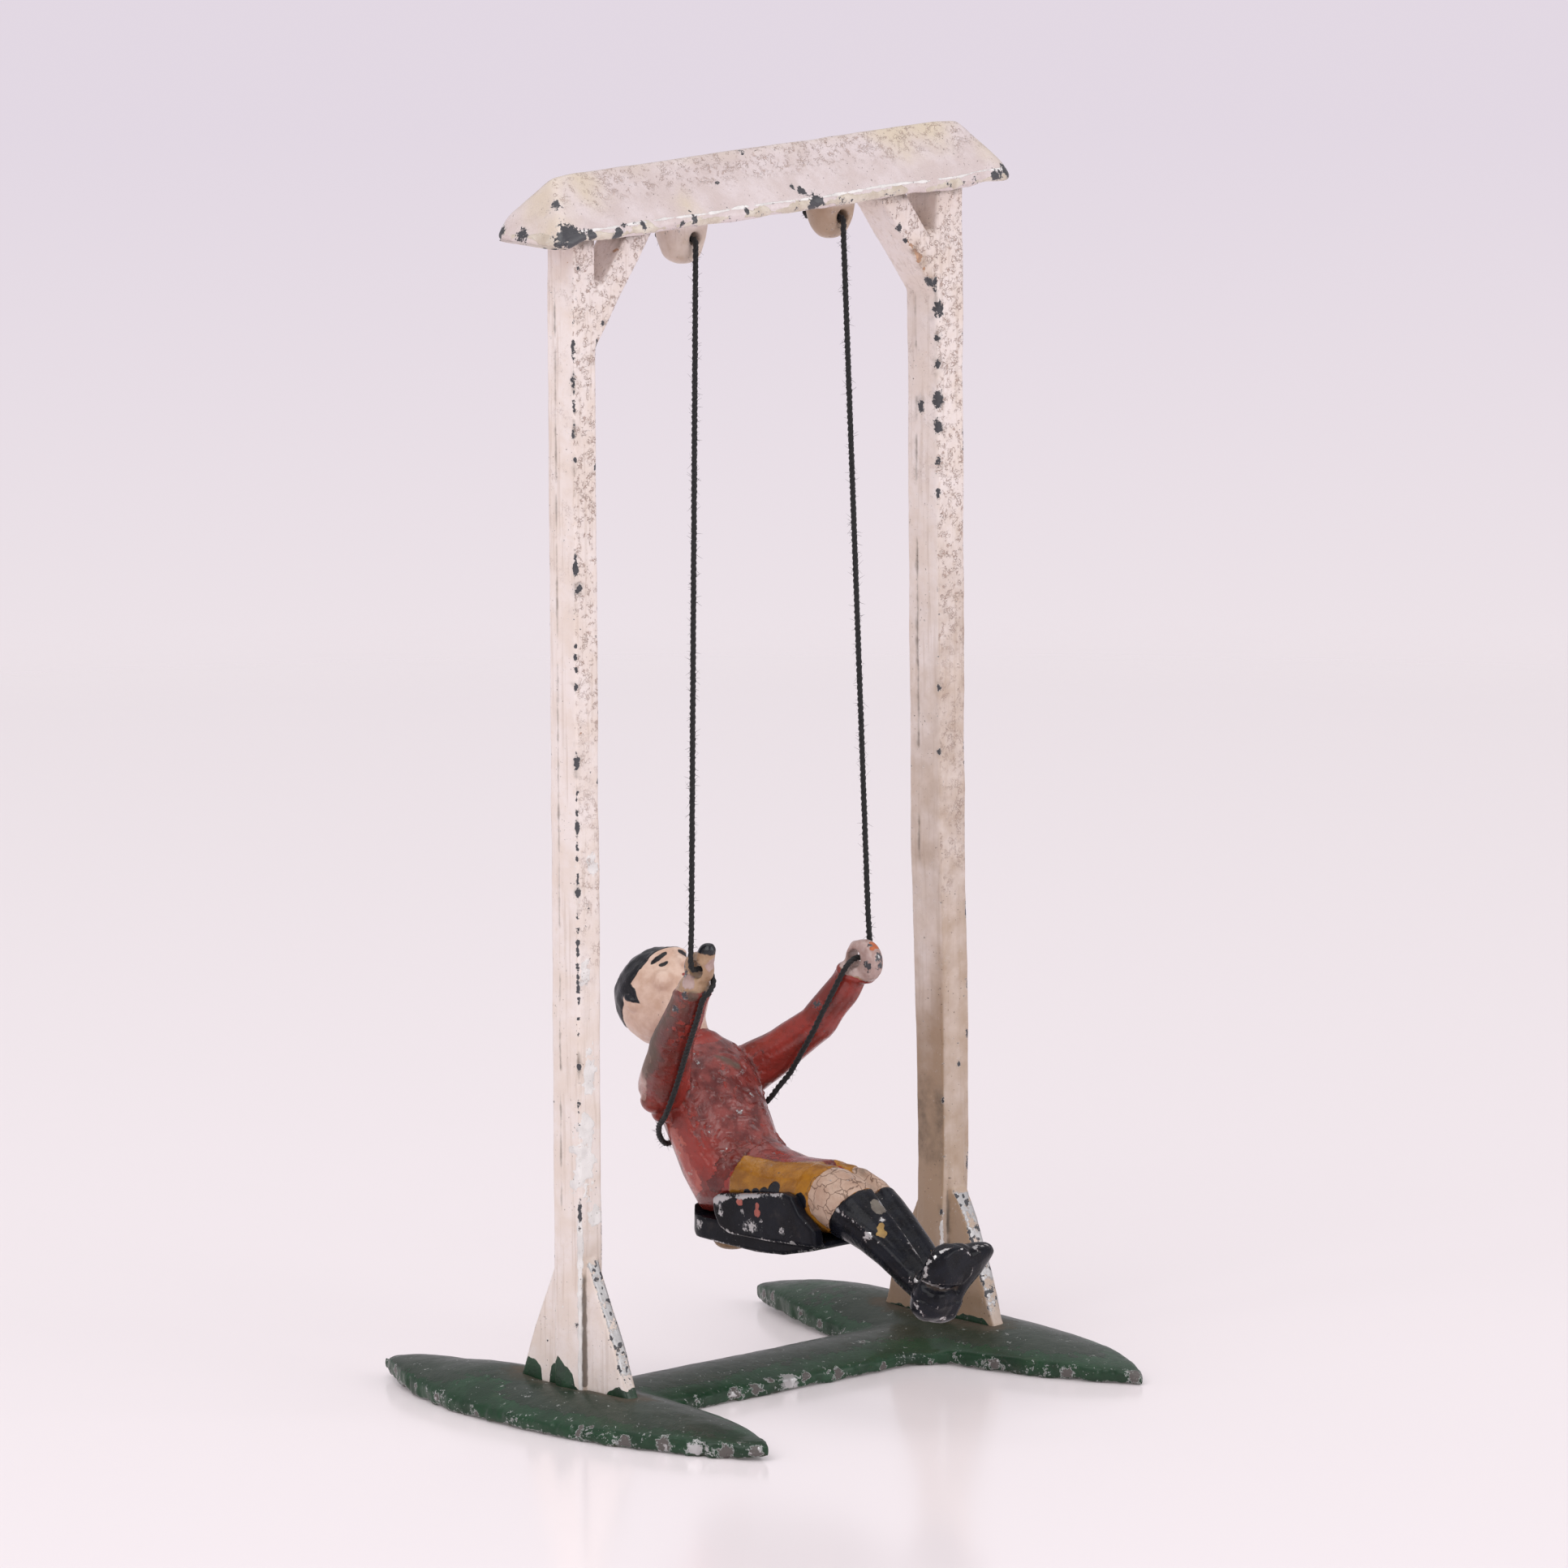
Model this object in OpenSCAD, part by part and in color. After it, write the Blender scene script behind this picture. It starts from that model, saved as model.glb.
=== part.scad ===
// Cast metal swing toy: a boy on a seat hangs by one thread from the roof of a garden swing.
// Millimetres. X runs along the roof, the boy faces -Y and swings along Y, Z is up.
// The origin is on the table, midway between the posts.
// Left and right are the viewer's, looking along +Y.

/* [Overall] */
// Height of the toy from the table to the ridge of the roof
total_h = 105; // [100:0.5:120]
// Distance between the centres of the two posts
post_span = 41.8; // [38:0.2:50]

/* [Base] */
// Length of each foot, front to back
foot_l = 47.6; // [44:0.2:56]
// Width of each foot at its middle
foot_w = 13.2; // [12:0.2:17]
// How far the middle of a foot lies outside the middle of its post
foot_shift = 0.5; // [0:0.1:1]
// Thickness of a foot at its crown
foot_crown = 3.6; // [3:0.1:5]
// Thickness of the casting at its rim
base_rim = 1.1; // [0.8:0.1:1.6]
// Width of the bar that joins the feet
bar_w = 9.6; // [8:0.2:12]
// Thickness of the bar at its crown
bar_crown = 2.6; // [2:0.1:3.4]
// Radius of the corners between the bar and the feet
corner_r = 4.5; // [2:0.5:6]

/* [Posts] */
// Width of a post along the roof
post_w = 2.8; // [2.4:0.1:3.6]
// Depth of a post along the swing
post_d = 3.3; // [2.8:0.1:4]
// How much narrower the front and back faces are than the middle, for the mould to part
post_draft = 0.24; // [0:0.02:0.4]
// Thickness of the fins at the foot of a post
fin_t = 1.3; // [1:0.1:2]
// Reach of a fin from the centre of its post
fin_reach = 6.7; // [5:0.1:9]
// Height of the top of the fins above the table
fin_top = 14.4; // [10:0.2:20]
// Width of the tenon under a post
tenon_w = 1.8; // [1.4:0.1:2.2]
// Depth of the tenon under a post
tenon_d = 3.2; // [2.4:0.1:4]
// Gap round a tenon and round the foot of a post in the base
seat_gap = 0.05; // [0.02:0.01:0.15]
// Diameter of the hammered head under the base
rivet_d = 4.6; // [4:0.1:6]
// Thickness of the hammered head
rivet_t = 0.7; // [0.4:0.1:0.9]
// Depth that the foot of a post sinks into the crown of the base
foot_sink = 0.4; // [0.2:0.1:0.8]

/* [Roof] */
// Length of the roof at the eaves
roof_l = 51.4; // [46:0.2:60]
// Depth of the roof at the eaves
roof_w = 8.4; // [7:0.2:11]
// Height of the roof casting
roof_h = 5.1; // [4.6:0.1:8]
// Thickness of the roof at the eaves
eave_t = 0.95; // [0.7:0.05:2]
// Length of the sloping hip at each end
hip_l = 2.6; // [1:0.1:5]
// Radius of the roof's upright corners
eave_r = 0.8; // [0.3:0.1:1.5]
// Radius of the ridge
ridge_r = 0.45; // [0.2:0.05:0.8]

/* [Braces] */
// Thickness of a brace seen from the front
brace_t = 2.4; // [1.2:0.05:3]
// Depth of a brace along the swing
brace_d = 3.2; // [1.6:0.1:3.2]
// Angle of a brace above level
brace_angle = 54.5; // [40:0.5:62]
// Drop of the lower end of a brace below the roof
brace_drop = 9.2; // [8:0.1:14]

/* [Lugs] */
// Distance between the centres of the two lugs
lug_span = 16.8; // [12:0.2:22]
// Width of a lug along the roof
lug_w = 4.3; // [3.4:0.1:5.4]
// Depth of a lug front to back
lug_d = 3.4; // [2.8:0.1:3.8]
// Drop of a lug below the roof
lug_h = 3.5; // [3:0.1:4.2]
// Diameter of the hole that the thread runs through
bore_d = 1.2; // [0.9:0.05:1.4]
// Depth of the hole's centre below the roof
bore_drop = 1.55; // [1.3:0.05:1.8]

/* [Thread] */
// Diameter of the thread
thread_d = 0.54; // [0.4:0.02:0.7]
// Gap between the thread and what it hangs beside
thread_gap = 0.14; // [0.08:0.02:0.3]
// Gap in the drawn thread where it bends and starts to swing
bend_gap = 0.3; // [0.28:0.02:0.5]
// Diameter of the knots behind the lugs
knot_d = 1.4; // [1.3:0.1:2]
// Drop of the point where the thread starts to swing, below the roof
pivot_drop = 2.9; // [2.8:0.05:3.3]
// Height of the middle between the hands above the table
grip_z = 36.05; // [34.5:0.05:40]

/* [Boy] */
// Distance between the thread's ends beside the two hands, along the roof
grip_span = 20.4; // [18:0.2:24]
// How far the middle between the hands lies to the right of the middle of the toy
grip_shift = 0.35; // [-1:0.05:1]
// How much higher than their middle the left hand is held, and lower the right hand
grip_lift = 0.75; // [0:0.05:1.5]
// Diameter of the left hand, which is closed
left_hand_d = 2.8; // [2.6:0.1:3.6]
// Diameter of the right hand, which is open
right_hand_d = 3.7; // [3.2:0.1:4.6]
// Thickness of a hand
hand_t = 1.5; // [1.2:0.1:2]
// Diameter of the hole through a hand
grip_bore_d = 1.6; // [1.2:0.05:2]
// Wall of the hollow body and head
hollow_wall = 1.05; // [0.7:0.05:1.6]

/* [Seat] */
// Width of the board between the side cheeks
board_w = 7.8; // [7:0.1:8.6]
// Thickness of a side cheek
cheek_t = 1.1; // [0.8:0.1:1.6]

/* [Hidden] */
$fn = 48;
eps = 0.01;
over = 1;

cream = [0.86, 0.80, 0.74];
green = [0.10, 0.22, 0.12];
red = [0.55, 0.14, 0.11];
ochre = [0.72, 0.44, 0.08];
skin = [0.80, 0.66, 0.56];
black = [0.06, 0.06, 0.07];

post_x = post_span / 2;
post_inner_x = post_x - post_w / 2;
post_seam_y = 0.5;
foot_x = post_x + foot_shift;
roof_z = total_h - roof_h;
foot_z = foot_crown - foot_sink;

// The feet and the bar are slices of large rings, so their crowns fall evenly to the rims
function crown_r(width, drop) = (pow(width / 2, 2) + pow(drop, 2)) / (2 * drop);
foot_drop = foot_crown - base_rim;
foot_cross_r = crown_r(foot_w, foot_drop);
foot_long_r = crown_r(foot_l, foot_drop);
bar_r = crown_r(bar_w, bar_crown - base_rim);
foot_taper = 1.7;
foot_step = 5;
crown_sweep = 40;

lug_x = lug_span / 2;
lug_fullness = 0.75;
bore_z = roof_z - bore_drop;
pivot_z = roof_z - pivot_drop;
thread_r = thread_d / 2;
bend_r = thread_d * 0.65;
knot_tail = [[0, 0, 0], [0.5, 0.5, 0.3], [1.1, 0.7, 0.2], [1.8, 0.6, -0.2]];
hang_y = -(lug_d / 2 + thread_r + thread_gap);

// The figure is drawn from its hip, and these are the hands' places in that drawing
grip_from_hip = [grip_shift, -3.4, 20];
hip = [0, hang_y - grip_from_hip.y, grip_z - grip_from_hip.z];
left_grip = grip_from_hip + [-grip_span / 2, 0, grip_lift];
right_grip = grip_from_hip + [grip_span / 2, 0, -grip_lift];
grip_to_hand = thread_r + thread_gap + hand_t / 2;
left_hand = left_grip + [grip_to_hand, 0, 0];
right_hand = right_grip - [grip_to_hand, 0, 0];

// Cross-sections of the figure: centre, lean back in degrees, half breadth and half depth
waist_ring = [[0, -1.8, 0.8], 57, 4.2, 3.7];
neck_ring = [[0, 7.9, 12.1], 28, 2, 1.8];
torso_sections = [
    waist_ring, [[0, 0.7, 0.9], 43, 4.4, 4.6], [[0, 2.5, 2.6], 32, 4.5, 4.1], [[0, 3.6, 4.6], 30, 4.7, 3.9],
    [[0, 4.9, 6.9], 30, 4.95, 3.75], [[0, 6.1, 9], 30, 5.1, 3.4], [[0, 7.2, 10.6], 29, 4.6, 2.6],
    [[0, 7.7, 11.5], 28, 3.2, 2], neck_ring
];
head_sections = [
    neck_ring, [[0, 8.4, 12.9], 38, 2.1, 2.1], [[0, 8.9, 13.6], 50, 2.9, 3.2],
    [[0, 9.7, 14.3], 57, 3.25, 4], [[0, 11, 15.1], 57, 3.45, 4.25], [[0, 12.4, 16], 57, 3.3, 4],
    [[0, 13.5, 16.6], 57, 2.6, 3.1], [[0, 14.2, 17], 57, 1.5, 1.8], [[0, 14.5, 17.1], 57, 0.5, 0.6]
];
shorts_sections = [
    [[-0.2, -9.6, 1.1], 90, 3.7, 2.9], [[-0.15, -7.2, 0.8], 86, 3.9, 3],
    [[-0.1, -4.6, 0.6], 76, 4.1, 3.15], waist_ring
];

// Cross-sections of a leg and its boot, for a breadth of 2: y, z, lean, half breadth, half depth
leg_profile = [
    [-23.6, -4.8, 57, 0.62, 1.2], [-20.9, -3.2, 57, 0.7, 1.35], [-19.3, -2.1, 57, 0.8, 1.55],
    [-17.3, -0.9, 57, 0.9, 1.9], [-15.3, 0.1, 58, 0.98, 2.3], [-13.6, 0.9, 64, 1, 2.6],
    [-11.9, 1.2, 78, 1, 2.8], [-9.6, 1.1, 90, 1, 2.8]
];
boot_profile = [
    [-23.7, -6.7, -20, 0.5, 0.8], [-23.9, -6.1, -20, 0.85, 1.4], [-24.2, -5, -20, 0.92, 1.6],
    [-24.6, -3.7, -20, 0.88, 1.4], [-25.1, -2.4, -20, 1, 1.2], [-25.5, -1.3, -20, 0.9, 1],
    [-25.7, -0.9, -20, 0.5, 0.6]
];
// How far the knee, the ankle, the heel and the toe lie to the right of the hip, the leg's half
// breadth and its drop
left_leg_at = [-1.45, -1.4, -1.9, -0.65, 2.45, 0];
right_leg_at = [1, 0.7, -1, 1.6, 1.9, 0.27];
boot_half_w = 2.25;

// Arms run from inside the shoulder to the hand: points and the radius at each
left_arm_radii = [2.2, 2.25, 2, 1.8, 1.6, 1.4, 0.7];
left_arm_path = [
    [-3.2, 6.2, 8.4], [-4.9, 5.4, 8.9], [-6.1, 3.7, 11.2], [-7.1, 1.7, 14], [-8.1, -1, 17], [-8.5, -2.4, 19],
    left_hand
];
// The left thumb stands up beside the thread: points from the middle of the hand
thumb_radii = [0.5, 0.65, 0.65, 0.35];
thumb_path = [[0, -0.5, 0.9], [0, -0.75, 1.35], [0, -0.95, 1.85], [0, -1, 2.25]];
right_arm_radii = [2.2, 2.3, 1.85, 1.6, 1.5, 1.35, 0.7];
right_arm_path = [
    [3.2, 7, 8.2], [5, 6.4, 8.5], [6.4, 3, 10.9], [7.6, 0, 13.3], [8.8, -1.8, 16.2], [9.1, -3, 18],
    right_hand
];
// Middle of each hand from the hole that the thread runs through
left_palm = [0, 0.25, 0];
right_palm = [0, -0.6, -0.25];

// The thread's way round the figure: through the left hand, down the front of the arm, behind the
// back, up the inner side of the right arm and through the right hand
wrap_path = [
    left_grip, [-9, -3.4, 20.75], [-8.2, -3.4, 20.7], [-7.6, -3.45, 20.4], [-7.35, -3.65, 19.95],
    [-7.5, -3.95, 19.45], [-8, -4.15, 19.05], [-8.6, -4.15, 18.7], [-8.95, -3.8, 18.15], [-8.75, -3.2, 17.1],
    [-8.55, -2.55, 16], [-8.05, -1.4, 14.5], [-7.5, -0.2, 13], [-7.05, 0.8, 11.6], [-6.65, 1.95, 9.8],
    [-6.35, 2.9, 8.5], [-6.05, 4, 7.1], [-5.7, 5, 6.4], [-5.1, 5.9, 5.8], [-4.4, 6.8, 5],
    [-3, 7.6, 4.1], [-1.5, 8, 3.9], [0, 8.1, 3.9], [1.5, 8, 4], [3, 7.5, 4.3], [4.3, 6.6, 4.9],
    [5.1, 5.4, 5.5], [5.3, 4.2, 6.1], [5.3, 3.2, 6.9], [5.5, 2.4, 7.9], [5.9, 1.6, 9], [5.9, 0.9, 9.9],
    [5.6, -0.1, 11.3], [5.8, -1.1, 13.1], [6.2, -1.6, 14.5], [6.5, -1.9, 15.5], [7, -2.6, 17],
    [7.3, -3.3, 18.2], [7.8, -3.7, 18.9], [8.7, -3.5, 19.2], [9.6, -3.4, 19.25], right_grip
];

// Side outlines of the seat, measured from the hip: y and z
board_back = 4.5;
board_outline = [
    [board_back, -1.2], [board_back, -2.5], [4, -3.3], [3, -3.8], [-4.4, -4], [-7.8, -3.8], [-11.2, -3],
    [-13.2, -2.4], [-13, -1.9], [3.2, -1.9], [3.7, -1.2]
];
cheek_outline = [
    [-0.6, -1], [-0.5, 0.2], [-1.2, 0.7], [-9, 1.9], [-10.2, 1.7], [-11.2, 0.3], [-13, -0.8],
    [-13.2, -2.2], [-8, -2.5], [-2.4, -2.6], [-1.2, -2.1]
];
board_corner_r = 2.6;
stub_at = [-1.6, 1.6, -4.2];
stub_top_d = 3;
stub_low_d = 2.1;
stub_h = 0.9;

body_sides = 20;
arm_sides = 16;
thread_sides = 8;

// One ring of points across the figure
function ring(section) =
    let (at = section[0], lean = section[1], half_w = section[2], half_d = section[3])
    [for (i = [0:body_sides - 1]) let (turn = i * 360 / body_sides)
        at + [half_w * cos(turn), half_d * sin(turn) * cos(lean), -half_d * sin(turn) * sin(lean)]];
function rings(sections) = [for (section = sections) ring(section)];

// The same sections, smaller by a wall, for the space inside, as far as they leave room for one
function thinner(sections, wall) =
    [for (s = sections) if (min(s[2], s[3]) > 1.2 * wall) [s[0], s[1], s[2] - wall, s[3] - wall]];

// Rings round a path, square to it, with a radius at each point
function unit(v) = v / norm(v);
function along(path, i) = unit(path[min(i + 1, len(path) - 1)] - path[max(i - 1, 0)]);
function round_rings(path, radii, count, across) = [
    for (i = [0:len(path) - 1])
        let (ahead = along(path, i), u = unit(cross(across, ahead)), v = cross(ahead, u))
        [for (k = [0:count - 1]) let (turn = k * 360 / count)
            path[i] + radii[i] * (cos(turn) * u + sin(turn) * v)]
];

// A closed solid through rings that are listed along their own normal
module loft(rings) {
    count = len(rings[0]);
    last = len(rings) - 1;
    polyhedron(
        points = [for (r = rings) each r],
        faces = concat(
            [[for (i = [0:count - 1]) i]],
            [[for (i = [count - 1:-1:0]) last * count + i]],
            [for (k = [0:last - 1], i = [0:count - 1]) let (j = (i + 1) % count)
                [k * count + i, (k + 1) * count + i, (k + 1) * count + j]],
            [for (k = [0:last - 1], i = [0:count - 1]) let (j = (i + 1) % count)
                [k * count + i, (k + 1) * count + j, k * count + j]]
        ),
        convexity = 6
    );
}

module thread(path) {
    loft(round_rings(path, [for (p = path) thread_r], thread_sides, unit([1, 0.02, 0.04])));
}

module mirrored() {
    children();
    mirror([1, 0, 0]) children();
}

// Side profile in the YZ plane, pushed out along X
module from_side(outline, x_from, x_to) {
    translate([x_from, 0, 0]) rotate([90, 0, 90]) linear_extrude(x_to - x_from) polygon(outline);
}

// Plan outline of a foot, pointed at both ends
function foot_outline() = [
    for (turn = [0:foot_step:360 - foot_step])
        [foot_w / 2 * sign(cos(turn)) * pow(abs(cos(turn)), foot_taper), foot_l / 2 * sin(turn)]
];

module foot() {
    intersection() {
        translate([foot_x, 0, 0]) linear_extrude(foot_crown + over) polygon(foot_outline());
        translate([foot_x, 0, foot_crown - foot_long_r]) rotate([0, 90, 0])
            rotate_extrude(angle = crown_sweep, start = 180 - crown_sweep / 2, $fn = 240)
                translate([foot_long_r - foot_cross_r, 0]) circle(foot_cross_r, $fn = 96);
    }
}

module bar() {
    intersection() {
        translate([-post_x, -bar_w / 2, 0]) cube([post_span, bar_w, bar_crown]);
        translate([-post_x, 0, bar_crown - bar_r]) rotate([0, 90, 0]) cylinder(r = bar_r, h = post_span);
    }
}

// The rounded inner corner between the bar and a foot
module bar_corner() {
    bar_end = foot_x - foot_w / 2 + foot_drop / 2;
    difference() {
        translate([bar_end - corner_r, bar_w / 2 - eps, 0]) cube([corner_r + over, corner_r, base_rim]);
        translate([bar_end - corner_r, bar_w / 2 + corner_r, -over])
            cylinder(r = corner_r, h = base_rim + 2 * over);
    }
}

module base() {
    color(green) difference() {
        union() {
            bar();
            mirrored() {
                foot();
                bar_corner();
                mirror([0, 1, 0]) bar_corner();
            }
        }
        mirrored() translate([post_x, 0, 0]) {
            post_foot_space(seat_gap);
            translate([0, 0, -over]) cylinder(d = rivet_d + 2 * seat_gap, h = rivet_t + seat_gap + over);
        }
    }
}

module block(w, d, z_from, z_to) {
    translate([-w / 2, -d / 2, z_from]) cube([w, d, z_to - z_from]);
}

// What a post takes out of the base: its foot, its fins and its tenon
module post_foot_space(gap) {
    space_z = foot_crown + over;
    block(post_w + 2 * gap, post_d + 2 * gap, foot_z, space_z);
    block(fin_t + 2 * gap, 2 * (fin_reach + gap), foot_z, space_z);
    block(tenon_w + 2 * gap, tenon_d + 2 * gap, 0, space_z);
}

// Posts with their fins, tenon and hammered head
module post() {
    half_d = post_d / 2;
    half_w = post_w / 2;
    face_w = half_w - post_draft / 2;
    section = [
        [-face_w, -half_d], [face_w, -half_d], [half_w, post_seam_y], [face_w, half_d], [-face_w, half_d],
        [-half_w, post_seam_y]
    ];
    fins = [
        [-fin_reach, foot_z], [fin_reach, foot_z], [half_d - post_draft, fin_top],
        [post_draft - half_d, fin_top]
    ];
    translate([0, 0, foot_z]) linear_extrude(roof_z - foot_z) polygon(section);
    from_side(fins, -fin_t / 2, fin_t / 2);
    block(tenon_w, tenon_d, rivet_t - eps, foot_z + eps);
    cylinder(d = rivet_d, h = rivet_t);
}

module left_post() {
    color(cream) translate([-post_x, 0, 0]) post();
}

module right_post() {
    color(cream) translate([post_x, 0, 0]) post();
}

// Roof: the gable seen from the end, cut by the hips seen from the front and by the plan
module roof() {
    half_l = roof_l / 2;
    half_w = roof_w / 2;
    eave_z = roof_z + eave_t;
    slope = atan2(roof_h - eave_t - ridge_r, half_w);
    ridge = [for (turn = [slope:10:180 - slope]) [ridge_r * cos(turn), total_h + ridge_r * (sin(turn) - 1)]];
    gable = concat([[half_w, roof_z], [half_w, eave_z]], ridge, [[-half_w, eave_z], [-half_w, roof_z]]);
    hips = [
        [-half_l, roof_z], [half_l, roof_z], [half_l, eave_z], [half_l - hip_l, total_h],
        [-half_l + hip_l, total_h], [-half_l, eave_z]
    ];
    color(cream) intersection() {
        from_side(gable, -half_l, half_l);
        translate([0, half_w + over, 0]) rotate([90, 0, 0]) linear_extrude(roof_w + 2 * over) polygon(hips);
        translate([0, 0, roof_z]) linear_extrude(roof_h + over) {
            square([roof_l - 2 * eave_r, roof_w], center = true);
            square([roof_l, roof_w - 2 * eave_r], center = true);
            for (x = [-1, 1], y = [-1, 1])
                translate([x * (half_l - eave_r), y * (half_w - eave_r)]) circle(eave_r);
        }
    }
}

// Braces: square bars from the inner face of a post to the underside of the roof
module brace() {
    brace_foot_z = roof_z - brace_drop;
    bar_l = 2 * brace_drop + brace_t;
    intersection() {
        translate([post_inner_x, -brace_d / 2, brace_foot_z]) rotate([0, brace_angle - 90, 0])
            translate([0, 0, -brace_t * 2]) cube([brace_t, brace_d, bar_l + brace_t * 2]);
        translate([0, -brace_d, brace_foot_z - over]) cube([post_inner_x, brace_d * 2, brace_drop + over]);
    }
}

module left_brace() {
    color(cream) mirror([1, 0, 0]) brace();
}

module right_brace() {
    color(cream) brace();
}

// Lugs: rounded knobs under the roof, flattened front and back, with a hole for the thread
module lug() {
    dome = [for (turn = [0:10:90]) [lug_w / 2 * pow(cos(turn), lug_fullness), -lug_h * sin(turn)]];
    translate([0, 0, roof_z]) difference() {
        intersection() {
            rotate_extrude() polygon(concat([[0, 0]], dome));
            translate([-lug_w, -lug_d / 2, -2 * lug_h]) cube([2 * lug_w, lug_d, 2 * lug_h]);
        }
        translate([0, lug_d, -bore_drop]) rotate([90, 0, 0]) cylinder(d = bore_d, h = 2 * lug_d);
    }
}

module left_lug() {
    color(cream) translate([-lug_x, 0, 0]) lug();
}

module right_lug() {
    color(cream) translate([lug_x, 0, 0]) lug();
}

// The thread's knot behind a lug, its run through the hole and its bend down to where it swings
module knot(x) {
    knot_y = (lug_d + thread_gap + knot_d) / 2;
    knot_at = [x, knot_y, bore_z];
    translate(knot_at) sphere(d = knot_d, $fn = 20);
    thread(concat(
        [knot_at, [x, 0, bore_z]],
        [for (turn = [0:30:90]) [x, hang_y + bend_r * (1 - sin(turn)), bore_z - bend_r * (1 - cos(turn))]],
        [[x, hang_y, pivot_z + bend_gap / 2]]
    ));
    thread([for (step = knot_tail) knot_at + step]);
}

module left_knot() {
    color(black) knot(-lug_x);
}

module right_knot() {
    color(black) knot(lug_x);
}

// The straight runs from the lugs to the hands
module hanging(lug_at, grip) {
    top = [lug_at, hang_y, pivot_z - bend_gap / 2];
    low = hip + grip + [0, 0, thread_r + thread_gap / 2];
    steps = 12;
    thread([for (i = [0:steps]) top + (low - top) * i / steps]);
}

module left_thread() {
    color(black) hanging(-lug_x, left_grip);
}

module right_thread() {
    color(black) hanging(lug_x, right_grip);
}

// Seat: a board with a low lip behind, a cheek on each side and the stub of the casting gate below
module board_plan() {
    board_front = -20;
    half_w = board_w / 2;
    translate([-half_w, board_front]) square([board_w, board_back - board_corner_r - board_front]);
    translate([board_corner_r - half_w, board_front])
        square([board_w - 2 * board_corner_r, board_back - board_front]);
    for (side = [-1, 1])
        translate([side * (half_w - board_corner_r), board_back - board_corner_r]) circle(board_corner_r);
}

module seat_shape() {
    intersection() {
        from_side(board_outline, -board_w / 2, board_w / 2);
        translate([0, 0, -board_w]) linear_extrude(2 * board_w) board_plan();
    }
    mirrored() from_side(cheek_outline, board_w / 2 - eps, board_w / 2 + cheek_t);
    translate(stub_at) cylinder(d1 = stub_low_d, d2 = stub_top_d, h = stub_h);
}

module seat() {
    color(black) translate(hip) seat_shape();
}

module shorts() {
    color(ochre) translate(hip) difference() {
        loft(rings(shorts_sections));
        seat_shape();
    }
}

// The space inside runs a little past the ends that are open
function past(a, b) = concat([a[0] + unit(a[0] - b[0]) * over / 2], [for (i = [1:3]) a[i]]);
module inside(sections, open_top) {
    thin = thinner(sections, hollow_wall);
    last = len(thin) - 1;
    loft(rings(concat(
        [past(thin[0], thin[1])], [for (i = [1:last - 1]) thin[i]],
        [open_top ? past(thin[last], thin[last - 1]) : thin[last]]
    )));
}

module torso_shape() {
    loft(rings(torso_sections));
}

module torso() {
    color(red) translate(hip) difference() {
        torso_shape();
        inside(torso_sections, true);
        seat_shape();
    }
}

module head() {
    color(skin) translate(hip) difference() {
        loft(rings(head_sections));
        inside(head_sections, false);
    }
}

module hand(at, hand_d) {
    edge_r = hand_t / 3;
    flat = hand_t / 2 - edge_r;
    round_x = hand_d / 2 - edge_r;
    profile = concat(
        [[0, -hand_t / 2]], [for (turn = [-90:15:0]) [round_x, -flat] + edge_r * [cos(turn), sin(turn)]],
        [for (turn = [0:15:90]) [round_x, flat] + edge_r * [cos(turn), sin(turn)]], [[0, hand_t / 2]]
    );
    translate(at) rotate([0, 90, 0]) rotate_extrude() polygon(profile);
}

module arm(path, radii, palm, hand_d) {
    hand_at = path[len(path) - 1];
    difference() {
        union() {
            loft(round_rings(path, radii, arm_sides, [1, 0, 0]));
            hand(hand_at + palm, hand_d);
        }
        torso_shape();
        translate(hand_at) rotate([0, 90, 0]) cylinder(d = grip_bore_d, h = hand_d * 2, center = true);
    }
}

module left_arm() {
    color(red) translate(hip) {
        arm(left_arm_path, left_arm_radii, left_palm, left_hand_d);
        translate(left_hand) loft(round_rings(thumb_path, thumb_radii, arm_sides, [1, 0, 0]));
    }
}

module right_arm() {
    color(red) translate(hip) arm(right_arm_path, right_arm_radii, right_palm, right_hand_d);
}

// Legs with their boots: knees, ankles and boots lie side by side
function along_leg(profile, x_from, x_to, half_w) =
    let (step = (x_to - x_from) / (len(profile) - 1))
    [for (i = [0:len(profile) - 1]) let (p = profile[i])
        [[x_from + i * step, p[0], p[1]], p[2], p[3] * half_w, p[4]]];

module leg_shape(leg_at) {
    knee_x = leg_at[0];
    ankle_x = leg_at[1];
    heel_x = leg_at[2];
    toe_x = leg_at[3];
    translate([0, 0, -leg_at[5]]) {
        loft(rings(along_leg(leg_profile, ankle_x, knee_x, leg_at[4])));
        loft(rings(along_leg(boot_profile, heel_x, toe_x, boot_half_w)));
    }
}

module left_leg() {
    color(black) translate(hip) difference() {
        leg_shape(left_leg_at);
        seat_shape();
    }
}

module right_leg() {
    color(black) translate(hip) difference() {
        leg_shape(right_leg_at);
        leg_shape(left_leg_at);
        seat_shape();
    }
}

module thread_wrap() {
    color(black) translate(hip) thread(wrap_path);
}

base();
left_post();
right_post();
left_brace();
right_brace();
roof();
left_lug();
right_lug();
left_knot();
right_knot();
left_thread();
right_thread();
thread_wrap();
seat();
shorts();
torso();
head();
left_arm();
right_arm();
left_leg();
right_leg();
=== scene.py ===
"""Looks of the cast metal swing toy: worn enamel over lead, one black thread and a painted boy.

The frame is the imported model's: X along the roof, the boy faces -Y, Z up. Shapes are worked out in
millimetres and scaled to metres at the end. Left and right are the viewer's, looking along +Y.
"""

import math

import bmesh
import bpy
import numpy as np
from mathutils import Matrix, Vector
from mathutils.bvhtree import BVHTree


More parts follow.
